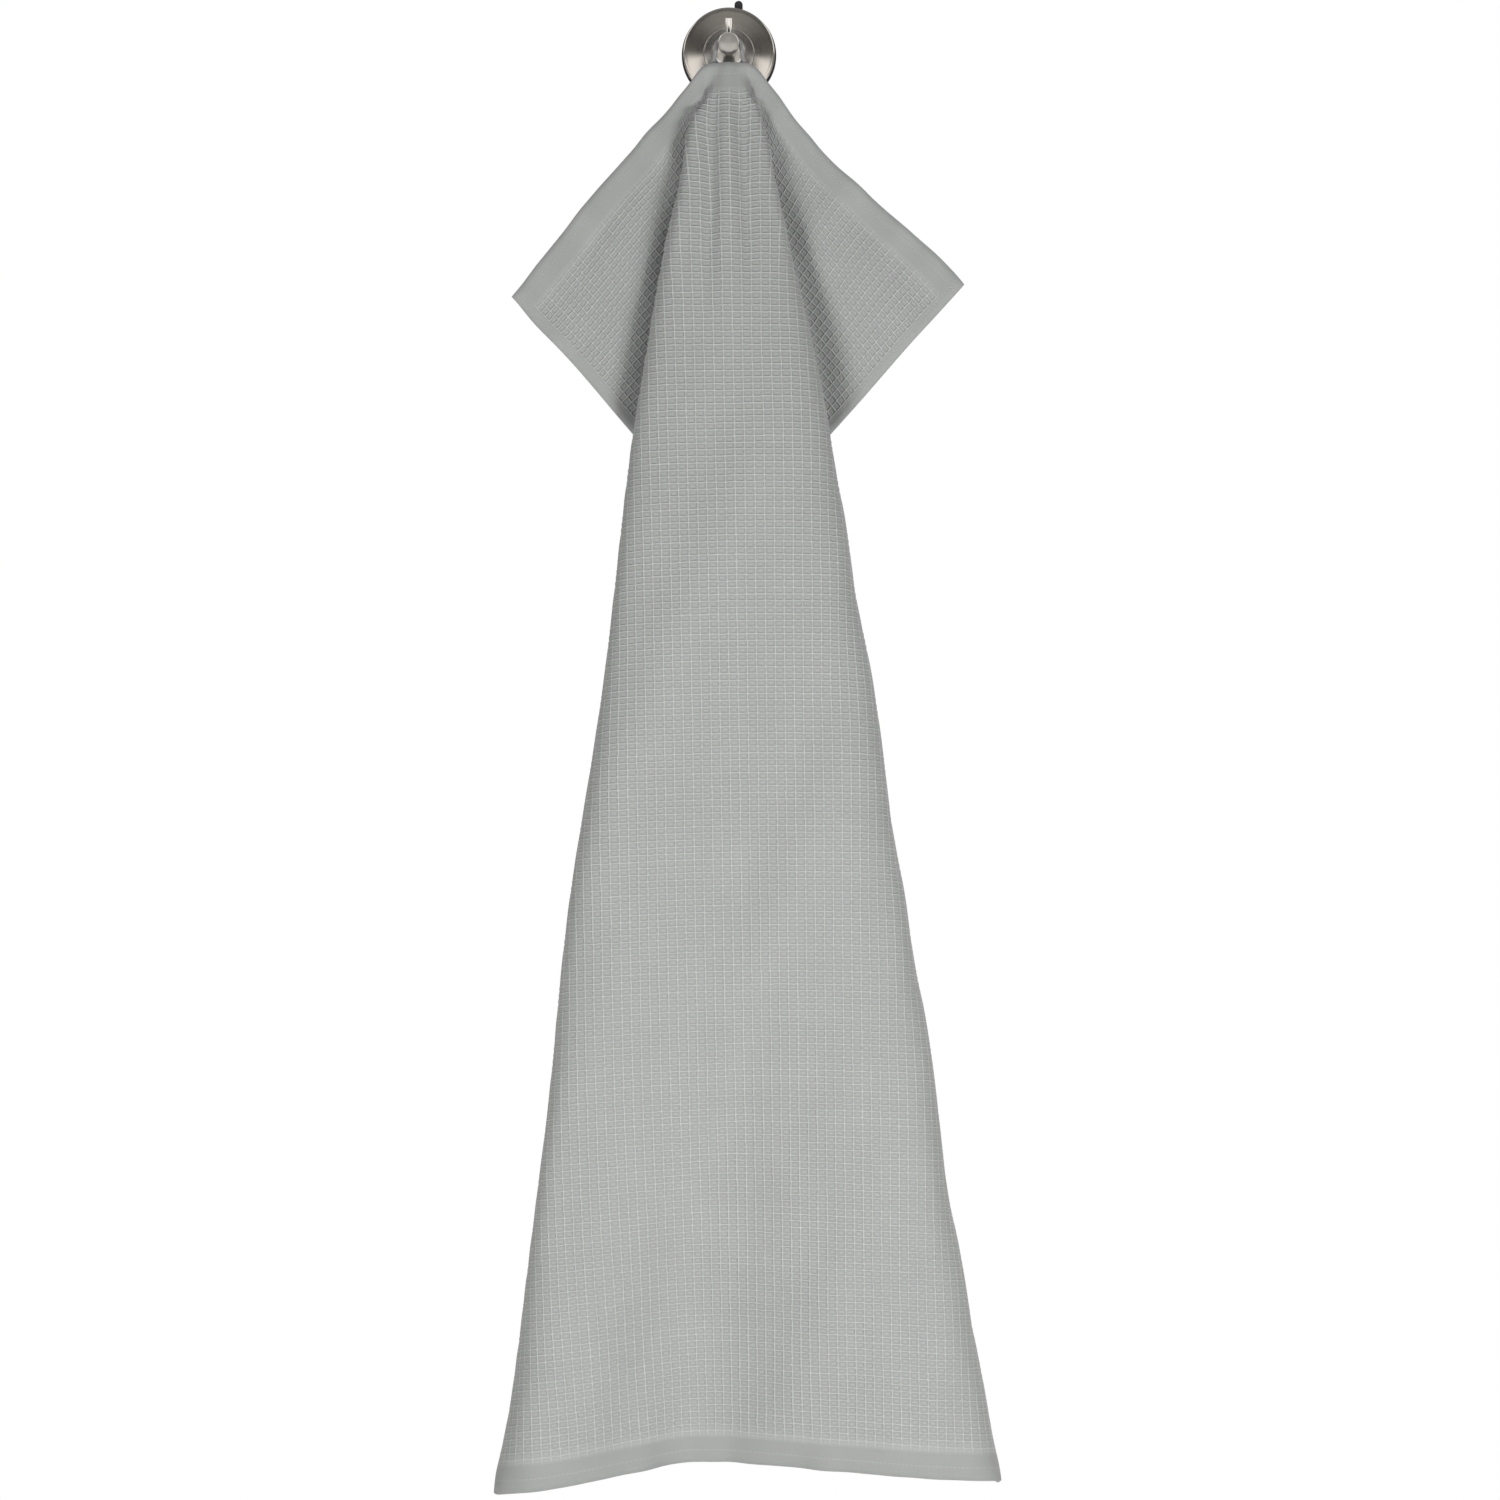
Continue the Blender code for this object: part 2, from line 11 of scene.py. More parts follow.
import bpy
import numpy as np
from bpy.props import FloatProperty, FloatVectorProperty, PointerProperty
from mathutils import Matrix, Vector


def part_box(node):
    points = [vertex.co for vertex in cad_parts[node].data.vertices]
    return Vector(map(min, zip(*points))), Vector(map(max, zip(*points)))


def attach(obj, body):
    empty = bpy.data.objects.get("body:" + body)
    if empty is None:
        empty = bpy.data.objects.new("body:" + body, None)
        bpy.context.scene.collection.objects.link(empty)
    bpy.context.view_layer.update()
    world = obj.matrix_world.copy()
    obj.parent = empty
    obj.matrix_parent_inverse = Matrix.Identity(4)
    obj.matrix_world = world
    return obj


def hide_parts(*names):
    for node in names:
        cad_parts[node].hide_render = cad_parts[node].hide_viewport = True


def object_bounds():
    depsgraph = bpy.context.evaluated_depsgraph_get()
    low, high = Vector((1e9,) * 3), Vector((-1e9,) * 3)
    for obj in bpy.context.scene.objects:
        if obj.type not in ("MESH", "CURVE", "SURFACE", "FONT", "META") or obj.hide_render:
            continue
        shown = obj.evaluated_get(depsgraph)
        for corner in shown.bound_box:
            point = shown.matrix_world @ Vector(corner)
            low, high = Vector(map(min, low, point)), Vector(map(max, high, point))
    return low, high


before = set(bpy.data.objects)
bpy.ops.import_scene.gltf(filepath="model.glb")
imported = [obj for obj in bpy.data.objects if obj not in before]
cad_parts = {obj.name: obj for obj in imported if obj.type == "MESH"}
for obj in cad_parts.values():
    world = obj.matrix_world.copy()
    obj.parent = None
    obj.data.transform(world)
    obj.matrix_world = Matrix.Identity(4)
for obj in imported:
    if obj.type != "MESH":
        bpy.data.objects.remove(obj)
packed_box = [list(corner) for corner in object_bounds()]

bl_info = {
    "name": "Waffle Hand Towel on a Hook",
    "version": (1, 0, 0),
    "blender": (4, 5, 0),
    "location": "3D View > Sidebar > Towel",
    "description": "Dresses a packed hand towel and its suction-cup hook",
    "category": "Object",
}


def table(names, *rows):
    """Rows of numbers as named columns."""
    return dict(zip(names.split(), np.array(rows).T))


def packed_radius(node):
    """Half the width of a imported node, the radius of a turned one."""
    low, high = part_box(node)
    return (high[0] - low[0]) / 2


# Towel: one rectangle of cloth with a doubled hem all round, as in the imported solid
WIDTH = 0.48
LENGTH = 1.00
END_HEM = 0.0175
SIDE_HEM = 0.0090
TOP_EDGE_Z = -0.0142

# Sections through the folds. Reach is the distance along the cloth from the middle of its top
# edge. A cloth angle is measured on the flat towel from its middle line, a swing is the same
# point's angle from straight down as it hangs, and the other columns are depths. At every
# reach the front panel runs out to its side folds, the cloth turns in behind it to the tucks,
# and there turns out again to make the wings, which end at the top edge.
FRONT = table(
    "reach cloth_left cloth_right swing_left swing_right fold_left fold_right middle",
    (0.000, 34.0, 34.0, 34.0, 34.0, 0.0400, 0.0400, 0.0400),
    (0.022, 33.0, 34.0, 38.0, 39.5, 0.0410, 0.0405, 0.0430),
    (0.040, 29.0, 28.0, 34.5, 30.0, 0.0420, 0.0400, 0.0465),
    (0.080, 22.5, 21.5, 23.9, 21.0, 0.0435, 0.0395, 0.0520),
    (0.130, 19.3, 18.9, 20.0, 18.0, 0.0455, 0.0390, 0.0580),
    (0.200, 17.2, 16.8, 16.8, 15.4, 0.0465, 0.0385, 0.0640),
    (0.280, 15.6, 15.2, 14.9, 14.2, 0.0470, 0.0380, 0.0690),
    (0.420, 13.6, 13.4, 12.7, 12.3, 0.0465, 0.0375, 0.0710),
    (0.600, 12.1, 12.1, 11.5, 11.1, 0.0450, 0.0375, 0.0700),
    (0.800, 11.2, 11.3, 10.6, 10.3, 0.0430, 0.0375, 0.0670),
    (1.030, 11.8, 10.9, 10.1, 9.9, 0.0400, 0.0370, 0.0650),
)
# A tuck's swing past the middle of the towel is negative
TUCK = table(
    "reach cloth swing_left swing_right depth_left depth_right",
    (0.000, 40.0, 40.0, 40.0, 0.0395, 0.0395),
    (0.022, 38.0, 40.0, 41.0, 0.0385, 0.0380),
    (0.030, 38.0, 37.0, 35.0, 0.0380, 0.0365),
    (0.040, 38.0, 31.0, 28.0, 0.0375, 0.0348),
    (0.080, 38.2, 5.0, 9.0, 0.0380, 0.0300),
    (0.130, 38.5, 0.5, 3.5, 0.0385, 0.0260),
    (0.200, 38.5, -2.8, -1.6, 0.0395, 0.0220),
    (0.280, 38.5, -4.4, -5.8, 0.0395, 0.0190),
    (0.420, 38.5, -6.0, -8.0, 0.0385, 0.0180),
    (0.600, 38.5, -7.0, -8.5, 0.0365, 0.0180),
    (1.030, 38.5, -7.0, -9.0, 0.0300, 0.0180),
)
WING = table(
    "reach swing_left swing_right depth_left depth_right",
    (0.000, 90.0, 90.0, 0.0395, 0.0395),
    (0.014, 89.0, 89.0, 0.0390, 0.0385),
    (0.030, 66.0, 66.0, 0.0368, 0.0355),
    (0.047, 57.0, 55.0, 0.0345, 0.0315),
    (0.085, 50.5, 48.0, 0.0322, 0.0262),
    (0.140, 47.3, 47.0, 0.0305, 0.0215),
    (0.230, 44.6, 47.0, 0.0260, 0.0175),
    (0.300, 45.4, 43.6, 0.0245, 0.0170),
    (1.030, 41.0, 42.0, 0.0200, 0.0150),
)
# Small local pulls: where on the cloth, how far they spread, and how far they shift it
PULLS = table(
    "across down spread shift_across shift_forward shift_up",
    (-0.195, 1.00, 0.045, -0.0050, 0.0000, 0.0000),
    (0.185, 1.00, 0.028, 0.0030, 0.0000, 0.0000),
    (0.055, 0.00, 0.022, 0.0000, 0.0030, 0.0000),
    (0.095, 0.00, 0.025, 0.0000, -0.0025, 0.0000),
    (-0.240, 0.00, 0.020, 0.0030, 0.0000, 0.0010),
    (-0.209, 1.00, 0.013, 0.0020, 0.0000, 0.0040),
)
# The whole towel leans by this many degrees to its right and hangs this share longer
LEAN = 0.9
STRETCH = 0.0036

# Where along the reach the flat top edge becomes folds, and how softly the cloth turns there
FOLDED_OVER = (0.014, 0.034)
FOLD_PULL = 0.9
STRIP_LOOSENESS = 2.6
STRIP_PULL = 0.004
STRIP_LEAST_DEPTH = 0.001
TUCK_TURN = 0.0022
TUCK_WIDENS = 0.0060
TUCK_WIDENS_OVER = (0.02, 0.20)
TUCK_OPENS = 0.0080
TUCK_OPENS_OVER = (0.22, 0.36)
TUCK_PULL = 3.0
WING_PULL = 0.6

# The front panel's rows sag towards its sides, the wings are drawn in to the loop, and the
# bottom corners rise where they turn back
DROOP = 0.38
DROOP_GROWS_OVER = (0.05, 0.30)
DROOP_FADES_OVER = (17.0, 34.0)
WING_DRAWN_IN = 0.044
WING_DRAWN_OVER = (40.0, 78.0)
CORNER_LIFT = 0.75
CORNER_LIFT_OVER = (0.5, 1.0)

# One broad hollow, left of the middle, deepens towards the bottom hem
HOLLOW_OVER = (0.55, 1.02)
HOLLOW_POWER = 1.3
HOLLOW_DEPTH = 0.036
HOLLOW_ACROSS = -0.040
HOLLOW_SPREAD = 0.062

# Two soft pleats run down from the loop and fade out
PLEAT_ACROSS = 0.0085
PLEAT_SPREAD = 0.005
PLEAT_DEPTH = 0.0022
PLEATS_PART = 4.0
PLEAT_GROWS_OVER = (0.012, 0.035)
PLEAT_FADES_OVER = (0.06, 0.16)

# Waffle weave: cells between the hems, and how far the cloth's faces stand from its middle
CELLS_ACROSS = 74
CELLS_DOWN = 207
RIB_HALF = 0.0013
PIT_HALF = 0.0009
HEM_HALF = 0.0013
HEM_FULLNESS = 0.0006
HEM_FULL_SPREAD = 0.045
EDGE_ROUNDING = 0.0007
SIDE_HEM_SPANS = 2
END_HEM_SPANS = 4

# Soft creases of the cloth, each along a line on the flat towel: where it starts, which way it
# runs from straight down, how long and wide it is, and how far it stands up or, below 0, sinks
CREASES = table(
    "across down heading length width rise",
    (0.0136, 0.002, 7.0, 0.030, 0.0030, -0.0052),
    (0.0190, 0.002, 10.0, 0.034, 0.0034, 0.0016),
    (-0.0142, 0.003, -6.0, 0.036, 0.0036, -0.0036),
    (-0.0068, -0.010, -3.0, 0.20, 0.0036, -0.0040),
    (0.0056, -0.010, 2.0, 0.19, 0.0038, -0.0040),
    (-0.0012, -0.030, -1.0, 0.24, 0.0034, 0.0022),
    (-0.0150, 0.010, -9.0, 0.17, 0.0036, 0.0024),
    (0.0150, 0.010, 9.0, 0.15, 0.0034, 0.0022),
    (-0.010, 0.018, -61.0, 0.36, 0.0140, -0.0112),
    (0.010, 0.020, 61.5, 0.36, 0.0120, -0.0052),
    (-0.060, 0.030, -66.0, 0.15, 0.0080, 0.0016),
    (-0.050, 0.060, -50.0, 0.17, 0.0100, -0.0014),
    (-0.075, 0.012, -82.0, 0.12, 0.0070, -0.0012),
    (0.055, 0.026, 64.0, 0.14, 0.0080, 0.0015),
    (0.055, 0.060, 47.0, 0.16, 0.0110, -0.0014),
    (0.080, 0.012, 84.0, 0.12, 0.0070, -0.0010),
    (-0.085, 0.420, -2.0, 0.30, 0.0140, 0.0010),
    (0.060, 0.300, 3.0, 0.36, 0.0160, 0.0009),
    (0.020, 0.560, -5.0, 0.34, 0.0170, -0.0010),
    (-0.110, 0.720, -4.0, 0.24, 0.0110, -0.0013),
    (0.120, 0.700, 4.0, 0.26, 0.0120, 0.0012),
    (0.075, 0.800, 1.0, 0.20, 0.0100, -0.0010),
)
CREASE_FADE = 0.35

# The hems pucker a little along their stitching, and the whole cloth is slightly uneven
PUCKERS = table(
    "pitch start depth",
    (0.041, 0.4, 0.0007),
    (0.026, 1.9, 0.0003),
    (0.067, 3.1, 0.0008),
)
PUCKER_REACH = 0.030
SIDE_PUCKER_SHARE = 0.6
UNEVENNESS = table(
    "pitch_across pitch_down start depth",
    (0.150, 0.310, 0.7, 0.0012),
    (0.083, 0.170, 2.1, 0.0006),
    (0.047, 0.120, 4.4, 0.0003),
)
UNEVENNESS_GROWS_OVER = (0.03, 0.20)

# Map of the folds, worked out once for each half of the towel: its size and how fine it is
MAP_REACH = 1.06
MAP_REACHES = 420
MAP_ANGLES = 541
SECTION_STEPS = 40
LEAST_REACH = 0.0001

# Hanging loop: stations from the top of the peg down one side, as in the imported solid
LOOP_THICKNESS = 0.0028
LOOP_BREADTH = 0.0042
LOOP_DEPTH = 0.0310
LOOP_HALF_WIDTH = 0.0088
LOOP_FOOT_ACROSS = 0.0112
LOOP_FOOT_STARTS = 0.0015
LOOP_FOOT_ENDS = 0.0125
LOOP_FOOT_THICKNESS = 0.0016
LOOP_FOOT_CLEARANCE = 0.0006
LOOP_STRAND = table(
    "across depth z thickness breadth",
    (0.0098, 0.0318, -0.0055, 0.0028, 0.0042),
    (0.0106, 0.0340, -0.0105, 0.0032, 0.0032),
)
LOOP_ARCH_STATIONS = 8
LOOP_FOOT_STATIONS = 5
LOOP_STATIONS = 110
LOOP_SIDES = 28
LOOP_SQUARENESS = 0.75

# Hook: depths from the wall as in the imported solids, and how far the photo's lip and tab pass them
CUP_LIP = 0.0026
CUP_EXTRA = 0.0005
CUP_DOME_RADIUS = 0.0290
CUP_DOME_DEPTH = 0.0048
CUP_DOME_SLOPE = 0.0040
CUP_DOME_FOOT = 0.0005
CUP_DOME_FOOT_RISE = 0.0002
CUP_EDGE = 0.0006
TAB_ACROSS = 0.0070
TAB_WIDTH = 0.0060
TAB_THICKNESS = 0.0024
TAB_RISE = 0.0008
TAB_FOOT = 0.0285
TAB_SIDES = 40
TAB_SOFTNESS = 0.0004
CAP_RIM_DEPTH = 0.0104
CAP_DISH_DEPTH = 0.0074
CAP_DISH_RISE = 0.0029
CAP_WALL = 0.0012
CAP_CHAMFER = 0.0008
CAP_EDGE = 0.0001
# Rings of the cap's dish as shares of its radius, and the share that is flat
DISH_SHARES = (0.0, 0.3, 0.5, 0.53, 0.55, 0.60, 0.70, 0.80, 0.90, 0.93)
DISH_FLAT = 0.54
FOOT_RADIUS = 0.0184
NECK_RADIUS = 0.00475
NECK_EDGE = 0.0003
HEAD_BACK = 0.0340
HEAD_FRONT = 0.0450
HEAD_ROUNDING = 0.0006
HEAD_DISH = 0.00026
HEAD_FACE_SHARE = 0.94
HEAD_FACE_RINGS = 8
PIN_SIDES = 64
PIN_SOFTNESS = 0.0006
GAP = 0.0003
TURNING_STEPS = 120
SEED_SIZE = 0.001
MERGE_DISTANCE = 0.000005
SHARP_ANGLE = math.radians(28)
# The peg's foot flares from the neck to the cap: radius at each height above the dish
FLARE = table(
    "radius rise",
    (0.00475, 0.0130),
    (0.0054, 0.0098),
    (0.0062, 0.0068),
    (0.0071, 0.0043),
    (0.0081, 0.0024),
    (0.0090, 0.0012),
    (0.0099, 0.00062),
    (0.0112, 0.0004),
    (0.0130, 0.0004),
    (0.0160, 0.0007),
    (0.0178, 0.0011),
    (0.0182, 0.0011),
    (0.0184, 0.0008),
)

# How far from a rib's middle its top ends, where the ditch beside it ends, how softly crossing
# ribs join, how far they drift from their lines in cells, and how strongly each rib's painted highlight
# shows, at random
RIB_TOP = (0.00005, 0.00090)
DITCH_EDGE = (0.00095, 0.00230)
RIB_JOIN = 0.0006
RIB_SWAY = 0.18
RIB_BOB = 0.26
RIB_HIGHLIGHT = (0.15, 0.62)
# How far in from the end hems the ribs and pits take to reach their full depth, and how much
# of their colour, painted highlight and painted shade among it, is left on a hem
WEAVE_FADE = 0.012
WEAVE_LEFT_ON_HEM = 0.25
HEM_EDGE = 0.0008
HEM_BLEND = 0.0030
# How far above the bottom hem its painted shade fades out
BOTTOM_HEM_SHADE_BLEND = 0.004

# Stitching along the hems: where it runs, half its width, and how much of a stitch shows
STITCH_FROM_END = 0.0085
STITCH_FROM_SIDE = 0.0060
STITCH_WIDTH = (0.0002, 0.0007)
STITCH_PITCH = 0.0030
STITCH_DASH = (0.30, 0.42)
STITCH_SHOWS = 0.3

# Random patterns by scale, detail and roughness, shades of the cloth's colour, its own tones and
# its painted highlight and shade, and how much each pattern adds to the grain and the height
CLOTH_NOISES = {"sway": (85.0, 2.0, 0.5), "bob": (110.0, 2.0, 0.5), "fuzz": (900.0, 4.0, 0.65),
                "patches": (22.0, 3.0, 0.55)}
THREAD_NOISE = (2600.0, 2.0, 0.6)
THREAD_STRETCH = (1.0, 0.35, 1.0)
TWILL_SLANT = 0.6
TWILL_HALF_PITCH = 0.0005
# Of these shades, the rib's is a painted highlight, the shaded ditch's and the bottom hem's are painted
# shade, and the rest are the cloth's own tones
CLOTH_TONES_AND_PAINTED_LIGHT = {"cell": 0.94, "shaded_ditch": 0.80, "rib": 1.25, "hem": 0.85, "shaded_bottom_hem": 0.79, "stitch": 1.15}
CLOTH_GRAIN = {"threads": 0.22, "fuzz": 0.18, "patches": 0.10}
CLOTH_GRAIN_BASE = 0.75
CLOTH_RELIEF = {"rib": 0.80, "shaded_ditch": -0.20}
CLOTH_HEIGHT = {"threads": 0.00005, "fuzz": 0.00004, "twill": 0.00003,
                "line": -0.00016, "stitch": 0.00014}
CLOTH_FINISH = {"Roughness": 0.93, "Specular IOR Level": 0.20, "Sheen Weight": 0.22, "Sheen Roughness": 0.55}

# The loop's tape: ribs round it, weft marks to a metre, and the same kinds of values
TAPE_RIBS = 13.0
TAPE_WEFTS = 1700.0
TAPE_NOISES = {"fuzz": (2200.0, 3.0, 0.6), "worn": (260.0, 2.0, 0.5)}
TAPE_SHADES = (0.62, 1.35)
TAPE_LIGHT = {"weft": 0.15, "rib": 0.35, "fuzz": 0.45, "worn": 0.25}
TAPE_HEIGHT = {"weft": 0.00009, "rib": 0.00022, "fuzz": 0.00012}
TAPE_FINISH = {"Roughness": 0.88, "Specular IOR Level": 0.22, "Sheen Weight": 0.15}

# Steel finishes: roughness, turning marks to a metre, how far they spread the roughness, and
# how much the brushing stretches reflections
CAP_STEEL = (0.19, 5200.0, 0.08, 0.75)
NECK_STEEL = (0.20, 4200.0, 0.08, 0.75)
HEAD_STEEL = (0.30, 5200.0, 0.08, 0.70)
PIN_STEEL = (0.09, 1500.0, 0.03, 0.0)
# Turning marks of two sizes: how much coarser, detail, roughness and share
STEEL_MARKS = ((9.0, 2.0, 0.5, 0.4), (1.0, 3.0, 0.6, 0.6))
STEEL_SHADES = (0.80, 1.18)
STEEL_SMEARS = (130.0, 3.0, 0.6)
SMEAR_TONE = 0.15
BRUSHED_ROUND = 0.25
SMEAR_ROUGHNESS = 0.04
MARK_HEIGHT = 0.000004

# Rubber and floor
RUBBER_GRAIN = (3500.0, 3.0, 0.6)
RUBBER_DUST = (240.0, 4.0, 0.6)
RUBBER_SHADES = (0.7, 1.9)
RUBBER_ROUGHNESS = (0.25, 0.40)
RUBBER_HEIGHT = 0.00006
FLOOR_GRAIN = (60.0, 4.0, 0.5)
FLOOR_SHADES = (0.97, 1.03)
FLOOR_FINISH = {"Roughness": 0.8}
FLOOR_RADIUS = 1.15
FLOOR_SIDES = 128
FLOOR_THICKNESS = 0.02

# Camera where the photograph was taken from
CAMERA_PLACE = (0.01532, -2.25, -0.507)
CAMERA_LENS = 73.92
CAMERA_SENSOR = 36.0

# Two soft lights in front, one on each side at about the height of the towel's middle, and a
# broad one above and behind, with their powers as shares of the key light
LIT_POINT = (0.0, -0.06, -0.65)
LIGHT_ASIDE = 1.05
LIGHT_FORWARD = 1.48
LIGHT_HEIGHT = -0.66
LIGHT_SIZE = 0.50
LIGHT_SHARES = {"left_light": 0.90, "right_light": 1.14, "back_light": 2.0}
BACK_LIGHT_PLACE = (0.3, 1.3, 1.1)
BACK_LIGHT_SIZE = 1.4

# What the steel reflects: the room's tone from straight down, -1, to straight up, 1, and a
# bright panel on each side, by how far to the side its edges lie
ROOM_TONES = (
    (-1.0, 0.36), (-0.30, 0.40), (-0.10, 0.20), (0.06, 0.06), (0.24, 0.055), (0.30, 1.28),
    (0.56, 1.10), (0.70, 0.28), (1.0, 0.14),
)
ROOM_TINT = (1.0, 0.975, 0.94)
ROOM_WHITE = (1.0, 1.0, 0.99, 1.0)
PLAIN_WHITE = (1.0, 1.0, 1.0, 1.0)
ROOM_TILT = 0.03
PANEL_STARTS = (0.56, 0.60)
PANEL_ENDS = (0.90, 0.94)


def hermite(start, start_slope, end, end_slope, share):
    """A cubic between two values with the given slopes."""
    return (start * (2 * share**3 - 3 * share**2 + 1) + start_slope * (share**3 - 2 * share**2 + share)
            + end * (3 * share**2 - 2 * share**3) + end_slope * (share**3 - share**2))


def read(sections, name, reach):
    """A column's value at a reach, or several, on a smooth curve through the table's rows."""
    place, value = sections["reach"], sections[name]
    slope = np.gradient(value, place)
    row = np.clip(np.searchsorted(place, reach) - 1, 0, len(place) - 2)
    width = place[row + 1] - place[row]
    share = (reach - place[row]) / width
    return hermite(value[row], slope[row] * width, value[row + 1], slope[row + 1] * width, share)


def ease(value, start, end):
    """From 0 at the start to 1 at the end, level at both."""
    share = np.clip((value - start) / (end - start), 0.0, 1.0)
    return share * share * (3 - 2 * share)


def half_section(reach, hand):
    """Half a section: cloth angles, and for each the way across and the depth."""
    cloth = np.radians([0.0, read(FRONT, "cloth_" + hand, reach), read(TUCK, "cloth", reach), 90.0])
    swing = np.radians([0.0] + [read(part, "swing_" + hand, reach) for part in (FRONT, TUCK, WING)])
    depth = np.array([read(FRONT, "middle", reach), read(FRONT, "fold_" + hand, reach),
                      read(TUCK, "depth_" + hand, reach), read(WING, "depth_" + hand, reach)])
    points = np.stack([swing * reach, depth], 1)
    length = np.diff(cloth) * reach
    folded = ease(reach, *FOLDED_OVER)
    turn = folded * math.pi / 2
    outward = np.array([1.0, 0.0])
    to_wall = np.array([math.cos(turn), -math.sin(turn)])
    strip_depth = max(depth[1] - depth[2], STRIP_LEAST_DEPTH)
    strip_pull = min(length[1], STRIP_LOOSENESS * strip_depth + STRIP_PULL)
    strip_pull = length[1] + (strip_pull - length[1]) * folded
    turn_size = TUCK_TURN + TUCK_WIDENS * ease(reach, *TUCK_WIDENS_OVER)
    turn_size += TUCK_OPENS * ease(reach, *TUCK_OPENS_OVER)
    tuck_pull = length[2] + (min(length[2], TUCK_PULL * turn_size) - length[2]) * folded
    spans = (
        (points[0], outward * length[0], points[1], to_wall * length[0] * FOLD_PULL),
        (points[1], to_wall * strip_pull, points[2], to_wall * strip_pull),
        (points[2], to_wall * tuck_pull, points[3], outward * length[2] * WING_PULL),
    )
    share = np.linspace(0, 1, SECTION_STEPS)[:, None]
    angles, curve = [cloth[:1]], [points[:1]]
    for first, last, span in zip(cloth, cloth[1:], spans):
        line = hermite(*span, share)
        run = np.concatenate([[0.0], np.cumsum(np.hypot(*np.diff(line, axis=0).T))])
        angles.append(first + (last - first) * run[1:] / run[-1])
        curve.append(line[1:])
    return np.concatenate(angles), np.concatenate(curve)


def fold_map(hand):
    """Swing and depth of one half of the cloth, over a grid of reaches and cloth angles."""
    angles = np.linspace(0, math.pi / 2, MAP_ANGLES)
    swings, depths = [], []
    for reach in MAP_REACH * np.linspace(0, 1, MAP_REACHES) ** 2:
        reach = max(reach, LEAST_REACH)
        cloth, curve = half_section(reach, hand)
        swings.append(np.interp(angles, cloth, curve[:, 0]) / reach)
        depths.append(np.interp(angles, cloth, curve[:, 1]))
    return np.array(swings), np.array(depths)


FOLDS = {hand: fold_map(hand) for hand in ("left", "right")}


def look_up(grid, reach, angle):
    """Values of a fold map between its grid's points."""
    row = np.sqrt(reach / MAP_REACH) * (MAP_REACHES - 1)
    column = angle / (math.pi / 2) * (MAP_ANGLES - 1)
    above = np.clip(row.astype(int), 0, MAP_REACHES - 2)
    before = np.clip(column.astype(int), 0, MAP_ANGLES - 2)
    below_share, after_share = row - above, column - before
    upper = grid[above, before] * (1 - after_share) + grid[above, before + 1] * after_share
    lower = grid[above + 1, before] * (1 - after_share) + grid[above + 1, before + 1] * after_share
    return upper * (1 - below_share) + lower * below_share


def by_hand(across, left, right):
    """The left half's values on the left of the towel and the right half's on the right."""
    return np.where(across < 0, left, right)


def hang(across, down):
    """Where points of the flat towel hang, from their places across from the middle and down."""
    side = np.where(across < 0, -1.0, 1.0)
    reach = np.maximum(np.hypot(across, down), LEAST_REACH)
    angle = np.arctan2(np.abs(across), down)
    swing, depth = (by_hand(across, look_up(FOLDS["left"][k], reach, angle),
                            look_up(FOLDS["right"][k], reach, angle)) for k in (0, 1))
    bow = side * angle * reach
    hollow = HOLLOW_DEPTH * ease(reach, *HOLLOW_OVER) ** HOLLOW_POWER
    depth = depth - hollow * np.exp(-((bow - HOLLOW_ACROSS) / HOLLOW_SPREAD) ** 2)
    pleat = PLEAT_DEPTH * ease(down, *PLEAT_GROWS_OVER) * (1 - ease(down, *PLEAT_FADES_OVER))
    off_pleat = (np.abs(across) - PLEAT_ACROSS * (1 + PLEATS_PART * down)) / PLEAT_SPREAD
    depth = depth - pleat * np.exp(-off_pleat**2)

    swing = side * swing + math.radians(LEAN)
    drawn = reach * (1 + STRETCH - WING_DRAWN_IN * ease(np.degrees(angle), *WING_DRAWN_OVER))
    droop = DROOP * bow**2 * ease(reach, *DROOP_GROWS_OVER)
    droop = droop * (1 - ease(np.degrees(angle), *DROOP_FADES_OVER))
    fold_angle = by_hand(across, read(FRONT, "cloth_left", reach), read(FRONT, "cloth_right", reach))
    turned_in = np.maximum(0.0, np.abs(bow) - np.radians(fold_angle) * reach)
    lift = CORNER_LIFT * turned_in * ease(reach, *CORNER_LIFT_OVER)
    height = TOP_EDGE_Z - drawn * np.cos(swing) - droop + lift
    place = np.stack([drawn * np.sin(swing), -depth, height], -1)

    for pull in zip(*PULLS.values()):
        off = ((across - pull[0]) ** 2 + (down - pull[1]) ** 2) / pull[2] ** 2
        place = place + np.exp(-off)[..., None] * np.array([pull[3], -pull[4], pull[5]])
    return place


def creased(across, down):
    """How far the creases, the hems' puckers and the unevenness lift the cloth's front face."""
    lift = np.zeros_like(across)
    for start_across, start_down, heading, length, width, rise in zip(*CREASES.values()):
        way = np.array([math.sin(math.radians(heading)), math.cos(math.radians(heading))])
        along = (across - start_across) * way[0] + (down - start_down) * way[1]
        aside = (across - start_across) * way[1] - (down - start_down) * way[0]
        fade = CREASE_FADE * length
        strength = ease(along, 0.0, fade) * (1 - ease(along, length - fade, length))
        lift += rise * strength * np.exp(-((aside / width) ** 2))
    for pitch_across, pitch_down, start, depth in zip(*UNEVENNESS.values()):
        turns = across / pitch_across + down / pitch_down
        lift += depth * np.sin(2 * math.pi * turns + start) * ease(down, *UNEVENNESS_GROWS_OVER)
    from_side = WIDTH / 2 - np.abs(across)
    from_end = np.minimum(down, LENGTH - down)
    for pitch, start, depth in zip(*PUCKERS.values()):
        for share, run, off in ((1.0, across, from_end), (SIDE_PUCKER_SHARE, down, from_side)):
            waves = np.sin(2 * math.pi * run / pitch + start)
            lift += share * depth * waves * np.exp(-off / PUCKER_REACH)
    return lift


